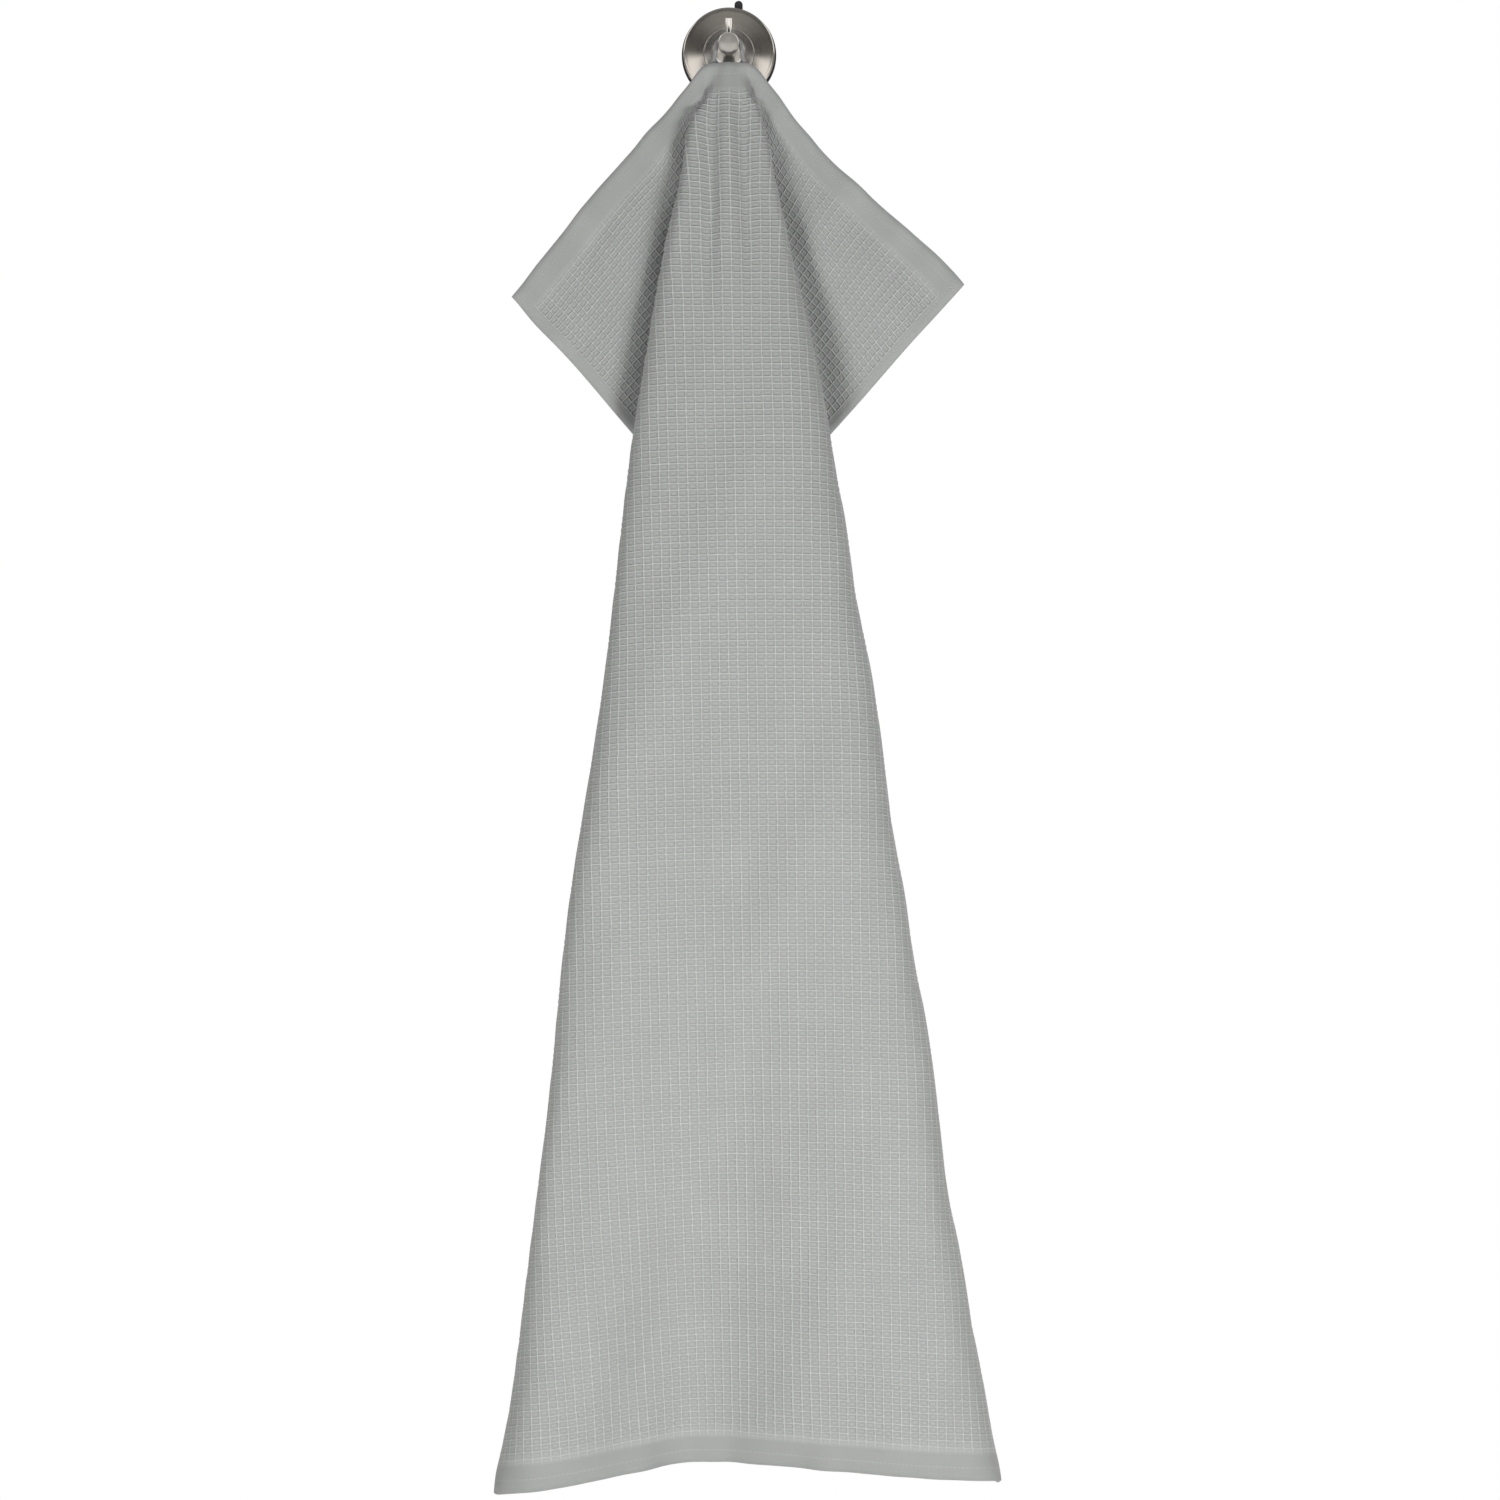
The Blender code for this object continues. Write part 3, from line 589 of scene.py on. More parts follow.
def cell_lines(start, total, hem, spans, cells):
    """Places of the mesh's lines over one side of the towel: hem, half cells of the waffle, hem."""
    return start + np.concatenate([
        np.linspace(0, hem, spans + 1)[:-1],
        np.linspace(hem, total - hem, 2 * cells + 1),
        np.linspace(total - hem, total, spans + 1)[1:],
    ])


def towel_sheet(crease_share):
    """Vertices, faces and flat places of the cloth: a relief of ribs and pits on both its faces."""
    columns = cell_lines(-WIDTH / 2, WIDTH, SIDE_HEM, SIDE_HEM_SPANS, CELLS_ACROSS)
    rows = cell_lines(0.0, LENGTH, END_HEM, END_HEM_SPANS, CELLS_DOWN)
    across, down = np.meshgrid(columns, rows)
    middle = hang(across, down)
    run_across = np.gradient(middle, axis=1)
    run_down = np.gradient(middle, axis=0)
    normal = np.cross(run_down, run_across)
    normal /= np.linalg.norm(normal, axis=2)[..., None]
    middle = middle + normal * crease_share * creased(across, down)[..., None]

    row, column = np.indices(across.shape)
    last_row, last_column = len(rows) - 1, len(columns) - 1
    woven = ((row > END_HEM_SPANS) & (row < last_row - END_HEM_SPANS)
             & (column > SIDE_HEM_SPANS) & (column < last_column - SIDE_HEM_SPANS))
    pit = woven & (row % 2 == 1) & (column % 2 == 1)
    full = HEM_FULLNESS * np.exp(-(across / HEM_FULL_SPREAD) ** 2) * (1 - ease(down, 0.0, END_HEM))
    half = np.where(woven, RIB_HALF, HEM_HALF) + full
    from_end = np.minimum(down, LENGTH - down)
    sunk = PIT_HALF + (RIB_HALF - PIT_HALF) * (1 - ease(from_end, END_HEM, END_HEM + WEAVE_FADE))
    half = np.where(pit, sunk, half)
    front = middle + normal * half[..., None]
    back = middle - normal * half[..., None]

    on_flat = np.stack([across, down], -1)
    places, flat = [front.reshape(-1, 3)], [on_flat.reshape(-1, 2)]
    front_index = np.arange(across.size).reshape(across.shape)
    back_index = np.full(across.shape, -1)
    total = across.size
    for taken in ((row % 2 == 0) & (column % 2 == 0), pit):
        count = int(taken.sum())
        back_index[taken] = total + np.arange(count)
        places.append(back[taken])
        flat.append(on_flat[taken])
        total += count

    faces = front_faces(front_index) + back_faces(back_index, pit)
    ring = border(across.shape)
    outward = edge_outward(middle, ring)
    mid_ring = total + np.arange(len(ring))
    places.append(np.array([middle[at] for at in ring]) + outward * EDGE_ROUNDING)
    flat.append(np.array([on_flat[at] for at in ring]))
    for index, at in enumerate(ring):
        after = (index + 1) % len(ring)
        faces.append((front_index[at], mid_ring[index], mid_ring[after], front_index[ring[after]]))
    for index in range(0, len(ring), 2):
        after, second = (index + 1) % len(ring), (index + 2) % len(ring)
        first_back, second_back = back_index[ring[index]], back_index[ring[second]]
        faces.append((mid_ring[index], first_back, mid_ring[after]))
        faces.append((mid_ring[after], first_back, second_back))
        faces.append((mid_ring[after], second_back, mid_ring[second]))
    flat = np.concatenate(flat) / (WIDTH, -LENGTH) + (0.5, 1.0)
    return np.concatenate(places), faces, flat


def front_faces(index):
    """Quads of the front face, each split from a rib crossing to a pit."""
    upper_left, upper_right = index[:-1, :-1], index[:-1, 1:]
    lower_left, lower_right = index[1:, :-1], index[1:, 1:]
    row, column = np.indices(upper_left.shape)
    straight = (row + column) % 2 == 0
    loops = np.stack([upper_left, lower_left, lower_right, upper_right], -1)
    turned = np.stack([lower_left, lower_right, upper_right, upper_left], -1)
    return np.where(straight[..., None], loops, turned).reshape(-1, 4).tolist()


def back_faces(index, pit):
    """The back face: four triangles to each pit, and a quad where the hem is plain."""
    faces = []
    for row in range(0, index.shape[0] - 1, 2):
        for column in range(0, index.shape[1] - 1, 2):
            corners = [index[row, column], index[row, column + 2],
                       index[row + 2, column + 2], index[row + 2, column]]
            if pit[row + 1, column + 1]:
                centre = index[row + 1, column + 1]
                faces += [(corners[k], corners[(k + 1) % 4], centre) for k in range(4)]
            else:
                faces.append(tuple(corners))
    return faces


def border(shape):
    """Grid places round the sheet's edge, anticlockwise as the viewer sees it."""
    last_row, last_column = shape[0] - 1, shape[1] - 1
    down_left = [(row, 0) for row in range(last_row)]
    along_bottom = [(last_row, column) for column in range(last_column)]
    up_right = [(row, last_column) for row in range(last_row, 0, -1)]
    along_top = [(0, column) for column in range(last_column, 0, -1)]
    return down_left + along_bottom + up_right + along_top


def edge_outward(middle, ring):
    """The way out of the sheet at each place of its edge."""
    last_row, last_column = middle.shape[0] - 1, middle.shape[1] - 1
    outward = []
    for row, column in ring:
        inner_row = min(max(row, 1), last_row - 1)
        inner_column = min(max(column, 1), last_column - 1)
        way = middle[row, column] - middle[inner_row, inner_column]
        outward.append(way / np.linalg.norm(way))
    return np.array(outward)


def mesh_piece(name, map_name, places, faces, flat):
    """An object from points and faces, with each point's flat place in the named map."""
    mesh = bpy.data.meshes.new(name)
    mesh.from_pydata([tuple(place) for place in places], [], faces)
    corners = np.empty(len(mesh.loops), dtype=np.int32)
    mesh.loops.foreach_get("vertex_index", corners)
    layer = mesh.uv_layers.new(name=map_name)
    layer.data.foreach_set("uv", np.asarray(flat, dtype=np.float32)[corners].ravel())
    mesh.shade_smooth()
    mesh.update()
    obj = bpy.data.objects.new(name, mesh)
    bpy.context.scene.collection.objects.link(obj)
    return obj


def loop_stations():
    """Stations of the loop from one foot over the peg to the other: place, thickness, breadth."""
    top = NECK_RADIUS + GAP + LOOP_THICKNESS / 2
    arch = [(LOOP_HALF_WIDTH * math.sin(a), LOOP_DEPTH, top * math.cos(a), LOOP_THICKNESS, LOOP_BREADTH)
            for a in np.radians(np.linspace(0, 90, LOOP_ARCH_STATIONS))]
    foot = []
    for down in np.linspace(LOOP_FOOT_STARTS, LOOP_FOOT_ENDS, LOOP_FOOT_STATIONS):
        across, down = np.array([LOOP_FOOT_ACROSS]), np.array([down])
        hem = hang(across, down)[0]
        cloth = -hem[1] + creased(across, down)[0]
        depth = cloth - HEM_HALF - LOOP_FOOT_THICKNESS / 2 - GAP - LOOP_FOOT_CLEARANCE
        foot.append((LOOP_FOOT_ACROSS, depth, hem[2], LOOP_BREADTH, LOOP_FOOT_THICKNESS))
    strand = list(zip(*LOOP_STRAND.values()))
    half = np.array(arch + strand + foot)
    return np.concatenate([half[:0:-1] * (-1, 1, 1, 1, 1), half])


def loop_rings(fullness):
    """Rings of points round the loop's tape, and how far round and along it each point is."""
    stations = loop_stations()
    run = np.cumsum(np.linalg.norm(np.diff(stations[:, :3], axis=0, prepend=stations[:1, :3]), axis=1))
    path = {"reach": run}
    path.update(zip(("x", "depth", "z", "thickness", "breadth"), stations.T))
    along = np.linspace(0, run[-1], LOOP_STATIONS)
    x, depth, z, thickness, breadth = (read(path, name, along) for name in list(path)[1:])
    middle = np.stack([x, -depth, z], 1)
    way = np.gradient(middle, axis=0)
    aside = np.cross(way, (0.0, 1.0, 0.0))
    aside /= np.linalg.norm(aside, axis=1)[:, None]
    turn = np.linspace(0, 2 * math.pi, LOOP_SIDES, endpoint=False)
    flat_cos = np.sign(np.cos(turn)) * np.abs(np.cos(turn)) ** LOOP_SQUARENESS
    flat_sin = np.sign(np.sin(turn)) * np.abs(np.sin(turn)) ** LOOP_SQUARENESS
    wide = np.array([0.0, 1.0, 0.0])
    rings = (middle[:, None]
             + aside[:, None] * (flat_cos[None, :] * thickness[:, None] * fullness / 2)[..., None]
             + wide * (flat_sin[None, :] * breadth[:, None] * fullness / 2)[..., None])
    return rings, turn / (2 * math.pi), along


def select_nothing():
    """Leave nothing selected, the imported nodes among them."""
    bpy.ops.object.select_all(action="DESELECT")


def pick(obj):
    """Select one object alone, as the active one."""
    select_nothing()
    obj.select_set(True)
    bpy.context.view_layer.objects.active = obj


def settle(obj):
    """Put an object's place, turn and size into its mesh."""
    pick(obj)
    bpy.ops.object.transform_apply(location=True, rotation=True, scale=True)


def named(name):
    """The object that was just added, under its own name."""
    obj = bpy.context.object
    obj.name = obj.data.name = name
    return obj


def edit_all():
    """Enter edit mode with everything selected."""
    bpy.ops.object.mode_set(mode="EDIT")
    bpy.ops.mesh.select_all(action="SELECT")


def extrude(step):
    """Extrude what is selected by a step."""
    bpy.ops.mesh.extrude_region_move(TRANSFORM_OT_translate={"value": step})


def finish_edit():
    """Turn every face outward and leave edit mode."""
    bpy.ops.mesh.select_all(action="SELECT")
    bpy.ops.mesh.normals_make_consistent(inside=False)
    bpy.ops.object.mode_set(mode="OBJECT")


def soften(obj, width, segments):
    """Round the sharp edges of the active object."""
    bevel = obj.modifiers.new("Soft edges", "BEVEL")
    bevel.width = width
    bevel.segments = segments
    bevel.limit_method = "ANGLE"
    bpy.ops.object.modifier_apply(modifier=bevel.name)


def turned(name, profile):
    """A piece spun about the hook's axis from a profile of (radius, depth), front to back."""
    select_nothing()
    radius, depth = profile[0]
    bpy.ops.mesh.primitive_plane_add(size=SEED_SIZE, location=(radius, -depth, 0.0))
    obj = named(name)
    edit_all()
    bpy.ops.mesh.merge(type="CENTER")
    for before, after in zip(profile, profile[1:]):
        extrude((after[0] - before[0], before[1] - after[1], 0.0))
    bpy.ops.mesh.select_all(action="SELECT")
    bpy.ops.mesh.spin(steps=TURNING_STEPS, angle=2 * math.pi, center=(0.0, 0.0, 0.0), axis=(0.0, 1.0, 0.0))
    bpy.ops.mesh.select_all(action="SELECT")
    bpy.ops.mesh.remove_doubles(threshold=MERGE_DISTANCE)
    finish_edit()
    settle(obj)
    bpy.ops.object.shade_smooth_by_angle(angle=SHARP_ANGLE)
    return obj


def rounded_corner(radius, depth, size, start, end, count=5):
    """Points of a small round edge in a profile, by angles from outward towards the front."""
    angles = np.radians(np.linspace(start, end, count))
    return [(radius + size * math.cos(a), depth + size * math.sin(a)) for a in angles]


def cap_profile(radius):
    """The steel cap: a shallow dish, a rounded rim with a chamfer, and an open back."""
    slope = CAP_DISH_RISE / (DISH_SHARES[-1] - DISH_FLAT)
    dish = [(radius * share, CAP_DISH_DEPTH + slope * max(0.0, share - DISH_FLAT)) for share in DISH_SHARES]
    inner = radius - CAP_WALL
    return [
        *dish,
        (radius - CAP_CHAMFER - 3 * CAP_EDGE, CAP_RIM_DEPTH - CAP_EDGE),
        (radius - CAP_CHAMFER, CAP_RIM_DEPTH),
        (radius - CAP_EDGE, CAP_RIM_DEPTH - CAP_CHAMFER),
        (radius, CAP_RIM_DEPTH - CAP_CHAMFER - 2 * CAP_EDGE),
        (radius, CUP_LIP + GAP),
        (inner, CUP_LIP + GAP),
        (inner, CAP_DISH_DEPTH - CAP_WALL),
        (0.0, CAP_DISH_DEPTH - CAP_WALL),
    ]


def neck_profile():
    """The peg's neck and the foot that flares out on the dish."""
    foot = CAP_DISH_DEPTH + GAP
    front = HEAD_BACK - GAP
    flare = [(radius, foot + rise) for radius, rise in zip(*FLARE.values())]
    return [(0.0, front), (NECK_RADIUS - NECK_EDGE, front), (NECK_RADIUS, front - NECK_EDGE), *flare,
            (FOOT_RADIUS, foot), (0.0, foot)]


def head_profile(radius):
    """The peg's round head: a flat, faintly dished front and rounded edges."""
    inner = radius - HEAD_ROUNDING
    shares = np.linspace(0, HEAD_FACE_SHARE, HEAD_FACE_RINGS)
    return [
        *[(inner * share, HEAD_FRONT - HEAD_DISH * (1 - share**2)) for share in shares],
        *rounded_corner(inner, HEAD_FRONT - HEAD_ROUNDING, HEAD_ROUNDING, 90, 0),
        *rounded_corner(inner, HEAD_BACK + HEAD_ROUNDING, HEAD_ROUNDING, 0, -90),
        (0.0, HEAD_BACK),
    ]


def cup_profile(radius):
    """The suction cup: a thin lip with a rounded edge, and the low dome under the cap."""
    return [
        (0.0, CUP_DOME_DEPTH),
        (CUP_DOME_RADIUS - CUP_DOME_SLOPE, CUP_DOME_DEPTH),
        (CUP_DOME_RADIUS - CUP_DOME_FOOT, CUP_LIP + CUP_DOME_FOOT_RISE),
        (CUP_DOME_RADIUS, CUP_LIP),
        *rounded_corner(radius - CUP_EDGE, CUP_LIP - CUP_EDGE, CUP_EDGE, 90, 0),
        *rounded_corner(radius - CUP_EDGE, CUP_EDGE, CUP_EDGE, 0, -90),
        (0.0, 0.0),
    ]


def pull_tab(top, across, width, thickness):
    """The cup's pull tab: a round-ended strip, raised and with soft edges."""
    select_nothing()
    middle = top - width / 2
    bpy.ops.mesh.primitive_circle_add(vertices=TAB_SIDES, radius=width / 2, fill_type="NGON",
                                      location=(across, 0.0, middle), rotation=(math.pi / 2, 0.0, 0.0))
    tab = named("pull_tab")
    settle(tab)
    bpy.ops.object.mode_set(mode="EDIT")
    bpy.ops.mesh.select_all(action="DESELECT")
    bpy.ops.object.mode_set(mode="OBJECT")
    for vert in tab.data.vertices:
        vert.select = vert.co.z < middle - MERGE_DISTANCE
    bpy.ops.object.mode_set(mode="EDIT")
    bpy.ops.transform.translate(value=(0.0, 0.0, TAB_FOOT - middle))
    bpy.ops.mesh.select_all(action="SELECT")
    extrude((0.0, -thickness, 0.0))
    finish_edit()
    soften(tab, width=TAB_SOFTNESS, segments=3)
    return tab


class Nodes:
    """The node tree of a material or world, with short ways to add to it."""

    def __init__(self, owner):
        owner.use_nodes = True
        self.owner = owner
        self.tree = owner.node_tree

    def join(self, node, inputs):
        """Set a node's inputs to values, or join them to other sockets."""
        for name, value in dict(inputs).items():
            if isinstance(value, bpy.types.NodeSocket):
                self.tree.links.new(value, node.inputs[name])
            else:
                node.inputs[name].default_value = value

    def add(self, kind, inputs=(), **settings):
        """A new node with its settings and inputs."""
        node = self.tree.nodes.new(kind)
        for name, value in settings.items():
            setattr(node, name, value)
        self.join(node, inputs)
        return node

    def calc(self, way, *values):
        """The result of a sum on numbers and sockets."""
        return self.add("ShaderNodeMath", dict(enumerate(values)), operation=way).outputs[0]

    def plus(self, first, second):
        return self.calc("ADD", first, second)

    def minus(self, first, second):
        return self.calc("SUBTRACT", first, second)

    def times(self, first, second):
        return self.calc("MULTIPLY", first, second)

    def times_plus(self, value, share, extra):
        return self.calc("MULTIPLY_ADD", value, share, extra)

    def zigzag(self, value, top):
        """Up to the top value and back to 0, over and over."""
        return self.calc("PINGPONG", value, top)

    def total(self, patterns, shares, start=0.0):
        """Patterns added up, each times its own share."""
        result = start
        for name, share in shares.items():
            result = self.times_plus(patterns[name], share, result)
        return result

    def mix(self, share, first, second, way="MIX"):
        """Two colours mixed."""
        inputs = {0: share, 6: first, 7: second}
        return self.add("ShaderNodeMix", inputs, data_type="RGBA", blend_type=way).outputs[2]

    def fall(self, value, full, none):
        """1 up to the first value and 0 from the second, softly in between."""
        inputs = {"Value": value, "From Min": full, "From Max": none, "To Min": 1.0, "To Max": 0.0}
        return self.add("ShaderNodeMapRange", inputs, interpolation_type="SMOOTHSTEP").outputs["Result"]

    def noise(self, vector, scale, detail, roughness):
        """Soft random values about 0.5, `scale` of them to a metre."""
        inputs = {"Vector": vector, "Scale": scale, "Detail": detail, "Roughness": roughness}
        return self.add("ShaderNodeTexNoise", inputs).outputs["Fac"]

    def flat_place(self, map_name):
        """The two numbers of a point's place in a named flat map."""
        flat = self.add("ShaderNodeUVMap", uv_map=map_name).outputs["UV"]
        return self.add("ShaderNodeSeparateXYZ", {"Vector": flat}).outputs[:2]

    def finish(self, colour, values, height=None, distance=1.0):
        """The material, with its shader's colour, plain values and bumps."""
        shader = self.tree.nodes["Principled BSDF"]
        self.join(shader, {"Base Color": colour, **values})
        if height is not None:
            bump = self.add("ShaderNodeBump", {"Height": height, "Distance": distance, "Strength": 1.0})
            self.join(shader, {"Normal": bump.outputs[0]})
        return self.owner


def shade(value, share):
    """A settings colour made lighter or darker."""
    return (*(part * share for part in value), 1.0)


def rib_lines(made, along, hem, cell, drift, sway):
    """How far the nearest of one way's ribs is, and a random share of that rib's painted highlight."""
    number = made.times_plus(along, 1 / cell, -hem / cell)
    number = made.plus(number, made.times_plus(drift, sway, -sway / 2))
    whole = made.calc("ROUND", number)
    light = made.add("ShaderNodeTexWhiteNoise", {"W": whole}, noise_dimensions="1D")
    return made.times(made.zigzag(number, 0.5), cell), light.outputs["Value"]


def cloth_material(settings):
    """Cotton waffle weave: ribs with a painted highlight, pits darker with painted shade in the ditches
    beside the ribs, fine threads, and a plain stitched hem with painted shade along the bottom one.
    """
    made = Nodes(bpy.data.materials.new("Grey waffle cotton"))
    share_across, share_down = made.flat_place("cloth")
    across = made.times(share_across, WIDTH)
    down = made.times_plus(share_down, -LENGTH, LENGTH)
    place = made.add("ShaderNodeCombineXYZ", {"X": across, "Y": down}).outputs[0]
    look = {name: made.noise(place, *values) for name, values in CLOTH_NOISES.items()}
    stretched = made.add("ShaderNodeMapping", {"Vector": place, "Scale": THREAD_STRETCH}).outputs[0]
    look["threads"] = made.noise(stretched, *THREAD_NOISE)

    cell_width = (WIDTH - 2 * SIDE_HEM) / CELLS_ACROSS
    cell_height = (LENGTH - 2 * END_HEM) / CELLS_DOWN
    from_column, column_highlight_share = rib_lines(made, across, SIDE_HEM, cell_width, look["sway"], RIB_SWAY)
    from_row, row_highlight_share = rib_lines(made, down, END_HEM, cell_height, look["bob"], RIB_BOB)
    from_rib = made.calc("SMOOTH_MIN", from_column, from_row, RIB_JOIN)
    look["rib"] = made.fall(from_rib, *RIB_TOP)
    # The ditch beside each rib: sunk in the relief and darkened with painted shade
    look["shaded_ditch"] = made.minus(made.fall(from_rib, *DITCH_EDGE), look["rib"])

    from_bottom = made.minus(LENGTH, down)
    from_side = made.calc("MINIMUM", across, made.minus(WIDTH, across))
    from_end = made.calc("MINIMUM", down, from_bottom)
    side_hem = made.fall(from_side, SIDE_HEM - HEM_EDGE, SIDE_HEM)
    hem = made.calc("MAXIMUM", side_hem, made.fall(from_end, END_HEM - HEM_EDGE, END_HEM + HEM_BLEND))
    near_hem = made.fall(from_end, END_HEM - HEM_BLEND, END_HEM + WEAVE_FADE)
    body = made.minus(1.0, made.calc("MAXIMUM", side_hem, near_hem))
    # Where the painted shade of the bottom hem lies
    bottom_hem_shade_mask = made.fall(from_bottom, END_HEM, END_HEM + BOTTOM_HEM_SHADE_BLEND)

    lines = [made.fall(made.calc("ABSOLUTE", made.minus(off, stitches)), *STITCH_WIDTH)
             for off, stitches in ((from_end, STITCH_FROM_END), (from_side, STITCH_FROM_SIDE))]
    look["line"] = made.times(made.calc("MAXIMUM", *lines), hem)
    dash = made.fall(made.zigzag(made.plus(across, down), STITCH_PITCH / 2),
                     *(STITCH_PITCH * share for share in STITCH_DASH))
    look["stitch"] = made.times(look["line"], dash)
    twill = made.zigzag(made.plus(across, made.times(down, TWILL_SLANT)), TWILL_HALF_PITCH)
    look["twill"] = made.times(made.times(twill, 1 / TWILL_HALF_PITCH), hem)

    tint = {part: shade(settings.cloth_colour, share) for part, share in CLOTH_TONES_AND_PAINTED_LIGHT.items()}
    fading = made.times_plus(body, 1 - WEAVE_LEFT_ON_HEM, WEAVE_LEFT_ON_HEM)
    # Painted highlight on the rib tops and painted shade in the ditches beside them, both fading near the
    # hems
    rib_highlight = made.times(look["rib"], made.times_plus(made.plus(column_highlight_share, row_highlight_share), *RIB_HIGHLIGHT))
    base_colour = made.mix(made.times(look["shaded_ditch"], fading), tint["cell"], tint["shaded_ditch"])
    base_colour = made.mix(made.times(rib_highlight, fading), base_colour, tint["rib"])
    # The hems' own tone, with painted shade on the bottom hem
    base_colour = made.mix(hem, base_colour, made.mix(bottom_hem_shade_mask, tint["hem"], tint["shaded_bottom_hem"]))
    base_colour = made.mix(made.times(look["stitch"], STITCH_SHOWS), base_colour, tint["stitch"])
    grain = made.total(look, CLOTH_GRAIN, CLOTH_GRAIN_BASE)
    grey = made.add("ShaderNodeCombineColor", dict.fromkeys(("Red", "Green", "Blue"), grain)).outputs[0]
    base_colour = made.mix(1.0, base_colour, grey, "MULTIPLY")

    relief = made.times(made.total(look, CLOTH_RELIEF), body)
    height = made.total(look, CLOTH_HEIGHT, made.times(relief, settings.rib_height))
    return made.finish(base_colour, CLOTH_FINISH, height)


def tape_material(settings):
    """The loop's folded tape: fine ribs along it and small weft marks across."""
    made = Nodes(bpy.data.materials.new("Grey loop tape"))
    around, along = made.flat_place("tape")
    place = made.add("ShaderNodeTexCoord").outputs["Object"]
    look = {name: made.noise(place, *values) for name, values in TAPE_NOISES.items()}
    for name, way, count in (("rib", around, TAPE_RIBS), ("weft", along, TAPE_WEFTS)):
        look[name] = made.times(made.zigzag(made.times(way, count), 0.5), 2.0)
    dark, light = (shade(settings.tape_colour, share) for share in TAPE_SHADES)
    base_colour = made.mix(made.total(look, TAPE_LIGHT), dark, light)
    return made.finish(base_colour, TAPE_FINISH, made.total(look, TAPE_HEIGHT))


def steel_material(name, steel_colour, roughness, rings, spread, brushed):
    """Turned and brushed steel, with fine marks round the hook's axis."""
    made = Nodes(bpy.data.materials.new(name))
    place = made.add("ShaderNodeTexCoord").outputs["Object"]
    x, y, z = made.add("ShaderNodeSeparateXYZ", {"Vector": place}).outputs
    reach = made.plus(made.calc("SQRT", made.plus(made.times(x, x), made.times(z, z))), y)
    marks = 0.0
    for coarser, detail, roughening, share in STEEL_MARKS:
        inputs = {"W": reach, "Scale": rings / coarser, "Detail": detail, "Roughness": roughening}
        lines = made.add("ShaderNodeTexNoise", inputs, noise_dimensions="1D").outputs["Fac"]
        marks = made.times_plus(lines, share, marks)
    smears = made.noise(place, *STEEL_SMEARS)
    tone = made.times_plus(smears, SMEAR_TONE, made.times(marks, 1 - SMEAR_TONE))
    dark, light = (shade(steel_colour, share) for share in STEEL_SHADES)
    polish = made.times_plus(marks, spread, roughness - spread / 2)
    polish = made.times_plus(smears, SMEAR_ROUGHNESS, made.minus(polish, SMEAR_ROUGHNESS / 2))
    tangent = made.add("ShaderNodeTangent", direction_type="RADIAL", axis="Y").outputs[0]
    values = {"Roughness": polish, "Tangent": tangent, "Metallic": 1.0, "Anisotropic": brushed,
              "Anisotropic Rotation": BRUSHED_ROUND}
    return made.finish(made.mix(tone, dark, light), values, marks, MARK_HEIGHT)


def rubber_material(settings):
    """Matt black rubber with a fine grain and dust."""
    made = Nodes(bpy.data.materials.new("Black rubber"))
    place = made.add("ShaderNodeTexCoord").outputs["Object"]
    grain, dust = made.noise(place, *RUBBER_GRAIN), made.noise(place, *RUBBER_DUST)
    dark, light = (shade(settings.rubber_colour, share) for share in RUBBER_SHADES)
    values = {"Roughness": made.times_plus(dust, *RUBBER_ROUGHNESS)}
    return made.finish(made.mix(dust, dark, light), values, grain, RUBBER_HEIGHT)


def floor_material(settings):
    """Pale matt floor with a faint grain."""
    made = Nodes(bpy.data.materials.new("Pale floor"))
    place = made.add("ShaderNodeTexCoord").outputs["Object"]
    dark, light = (shade(settings.floor_colour, share) for share in FLOOR_SHADES)
    return made.finish(made.mix(made.noise(place, *FLOOR_GRAIN), dark, light), FLOOR_FINISH)


def room_tone(tone):
    """A slightly warm grey of the room that the steel reflects."""
    return shade(ROOM_TINT, tone)


def light_surroundings(settings):
    """White behind the object, and a plain room round it for light and reflections."""
    world = bpy.data.worlds.new("Plain studio")
    bpy.context.scene.world = world
    made = Nodes(world)
    made.tree.nodes.clear()
    direction = made.add("ShaderNodeTexCoord").outputs["Generated"]
    across, _, up = made.add("ShaderNodeSeparateXYZ", {"Vector": direction}).outputs
    tilted = made.times_plus(across, ROOM_TILT, up)
    ramp = made.add("ShaderNodeValToRGB", {"Fac": made.times_plus(tilted, 0.5, 0.5)})
    stops = ramp.color_ramp.elements
    for stop, (height, tone) in zip(stops, (ROOM_TONES[0], ROOM_TONES[-1])):
        stop.position, stop.color = (height + 1) / 2, room_tone(tone)
    for height, tone in ROOM_TONES[1:-1]:
        stops.new((height + 1) / 2).color = room_tone(tone)
    aside = made.calc("ABSOLUTE", across)
    panel = made.times(made.minus(1.0, made.fall(aside, *PANEL_STARTS)), made.fall(aside, *PANEL_ENDS))
    reflected = made.mix(panel, ramp.outputs["Color"], room_tone(1.0))
    mirrored, around, white = (
        made.add("ShaderNodeBackground", {"Color": tint, "Strength": strength}).outputs[0]
        for tint, strength in ((reflected, settings.reflections), (ROOM_WHITE, settings.room_light),
                               (PLAIN_WHITE, 1.0)))
    path = made.add("ShaderNodeLightPath").outputs
    unseen = made.add("ShaderNodeMixShader", {0: path["Is Glossy Ray"], 1: around, 2: mirrored})
    joined = made.add("ShaderNodeMixShader", {0: path["Is Camera Ray"], 1: unseen.outputs[0], 2: white})
    made.add("ShaderNodeOutputWorld", {"Surface": joined.outputs[0]})


def soft_light(name, place, size, power):
    """A square area light that faces the towel and that the camera doesn't see."""
    select_nothing()
    bpy.ops.object.light_add(type="AREA", location=place)
    light = named(name)
    light.rotation_euler = (Vector(LIT_POINT) - Vector(place)).to_track_quat("-Z", "Y").to_euler()
    light.data.size = size
    light.data.energy = power
    light.visible_camera = False
    light.visible_glossy = False


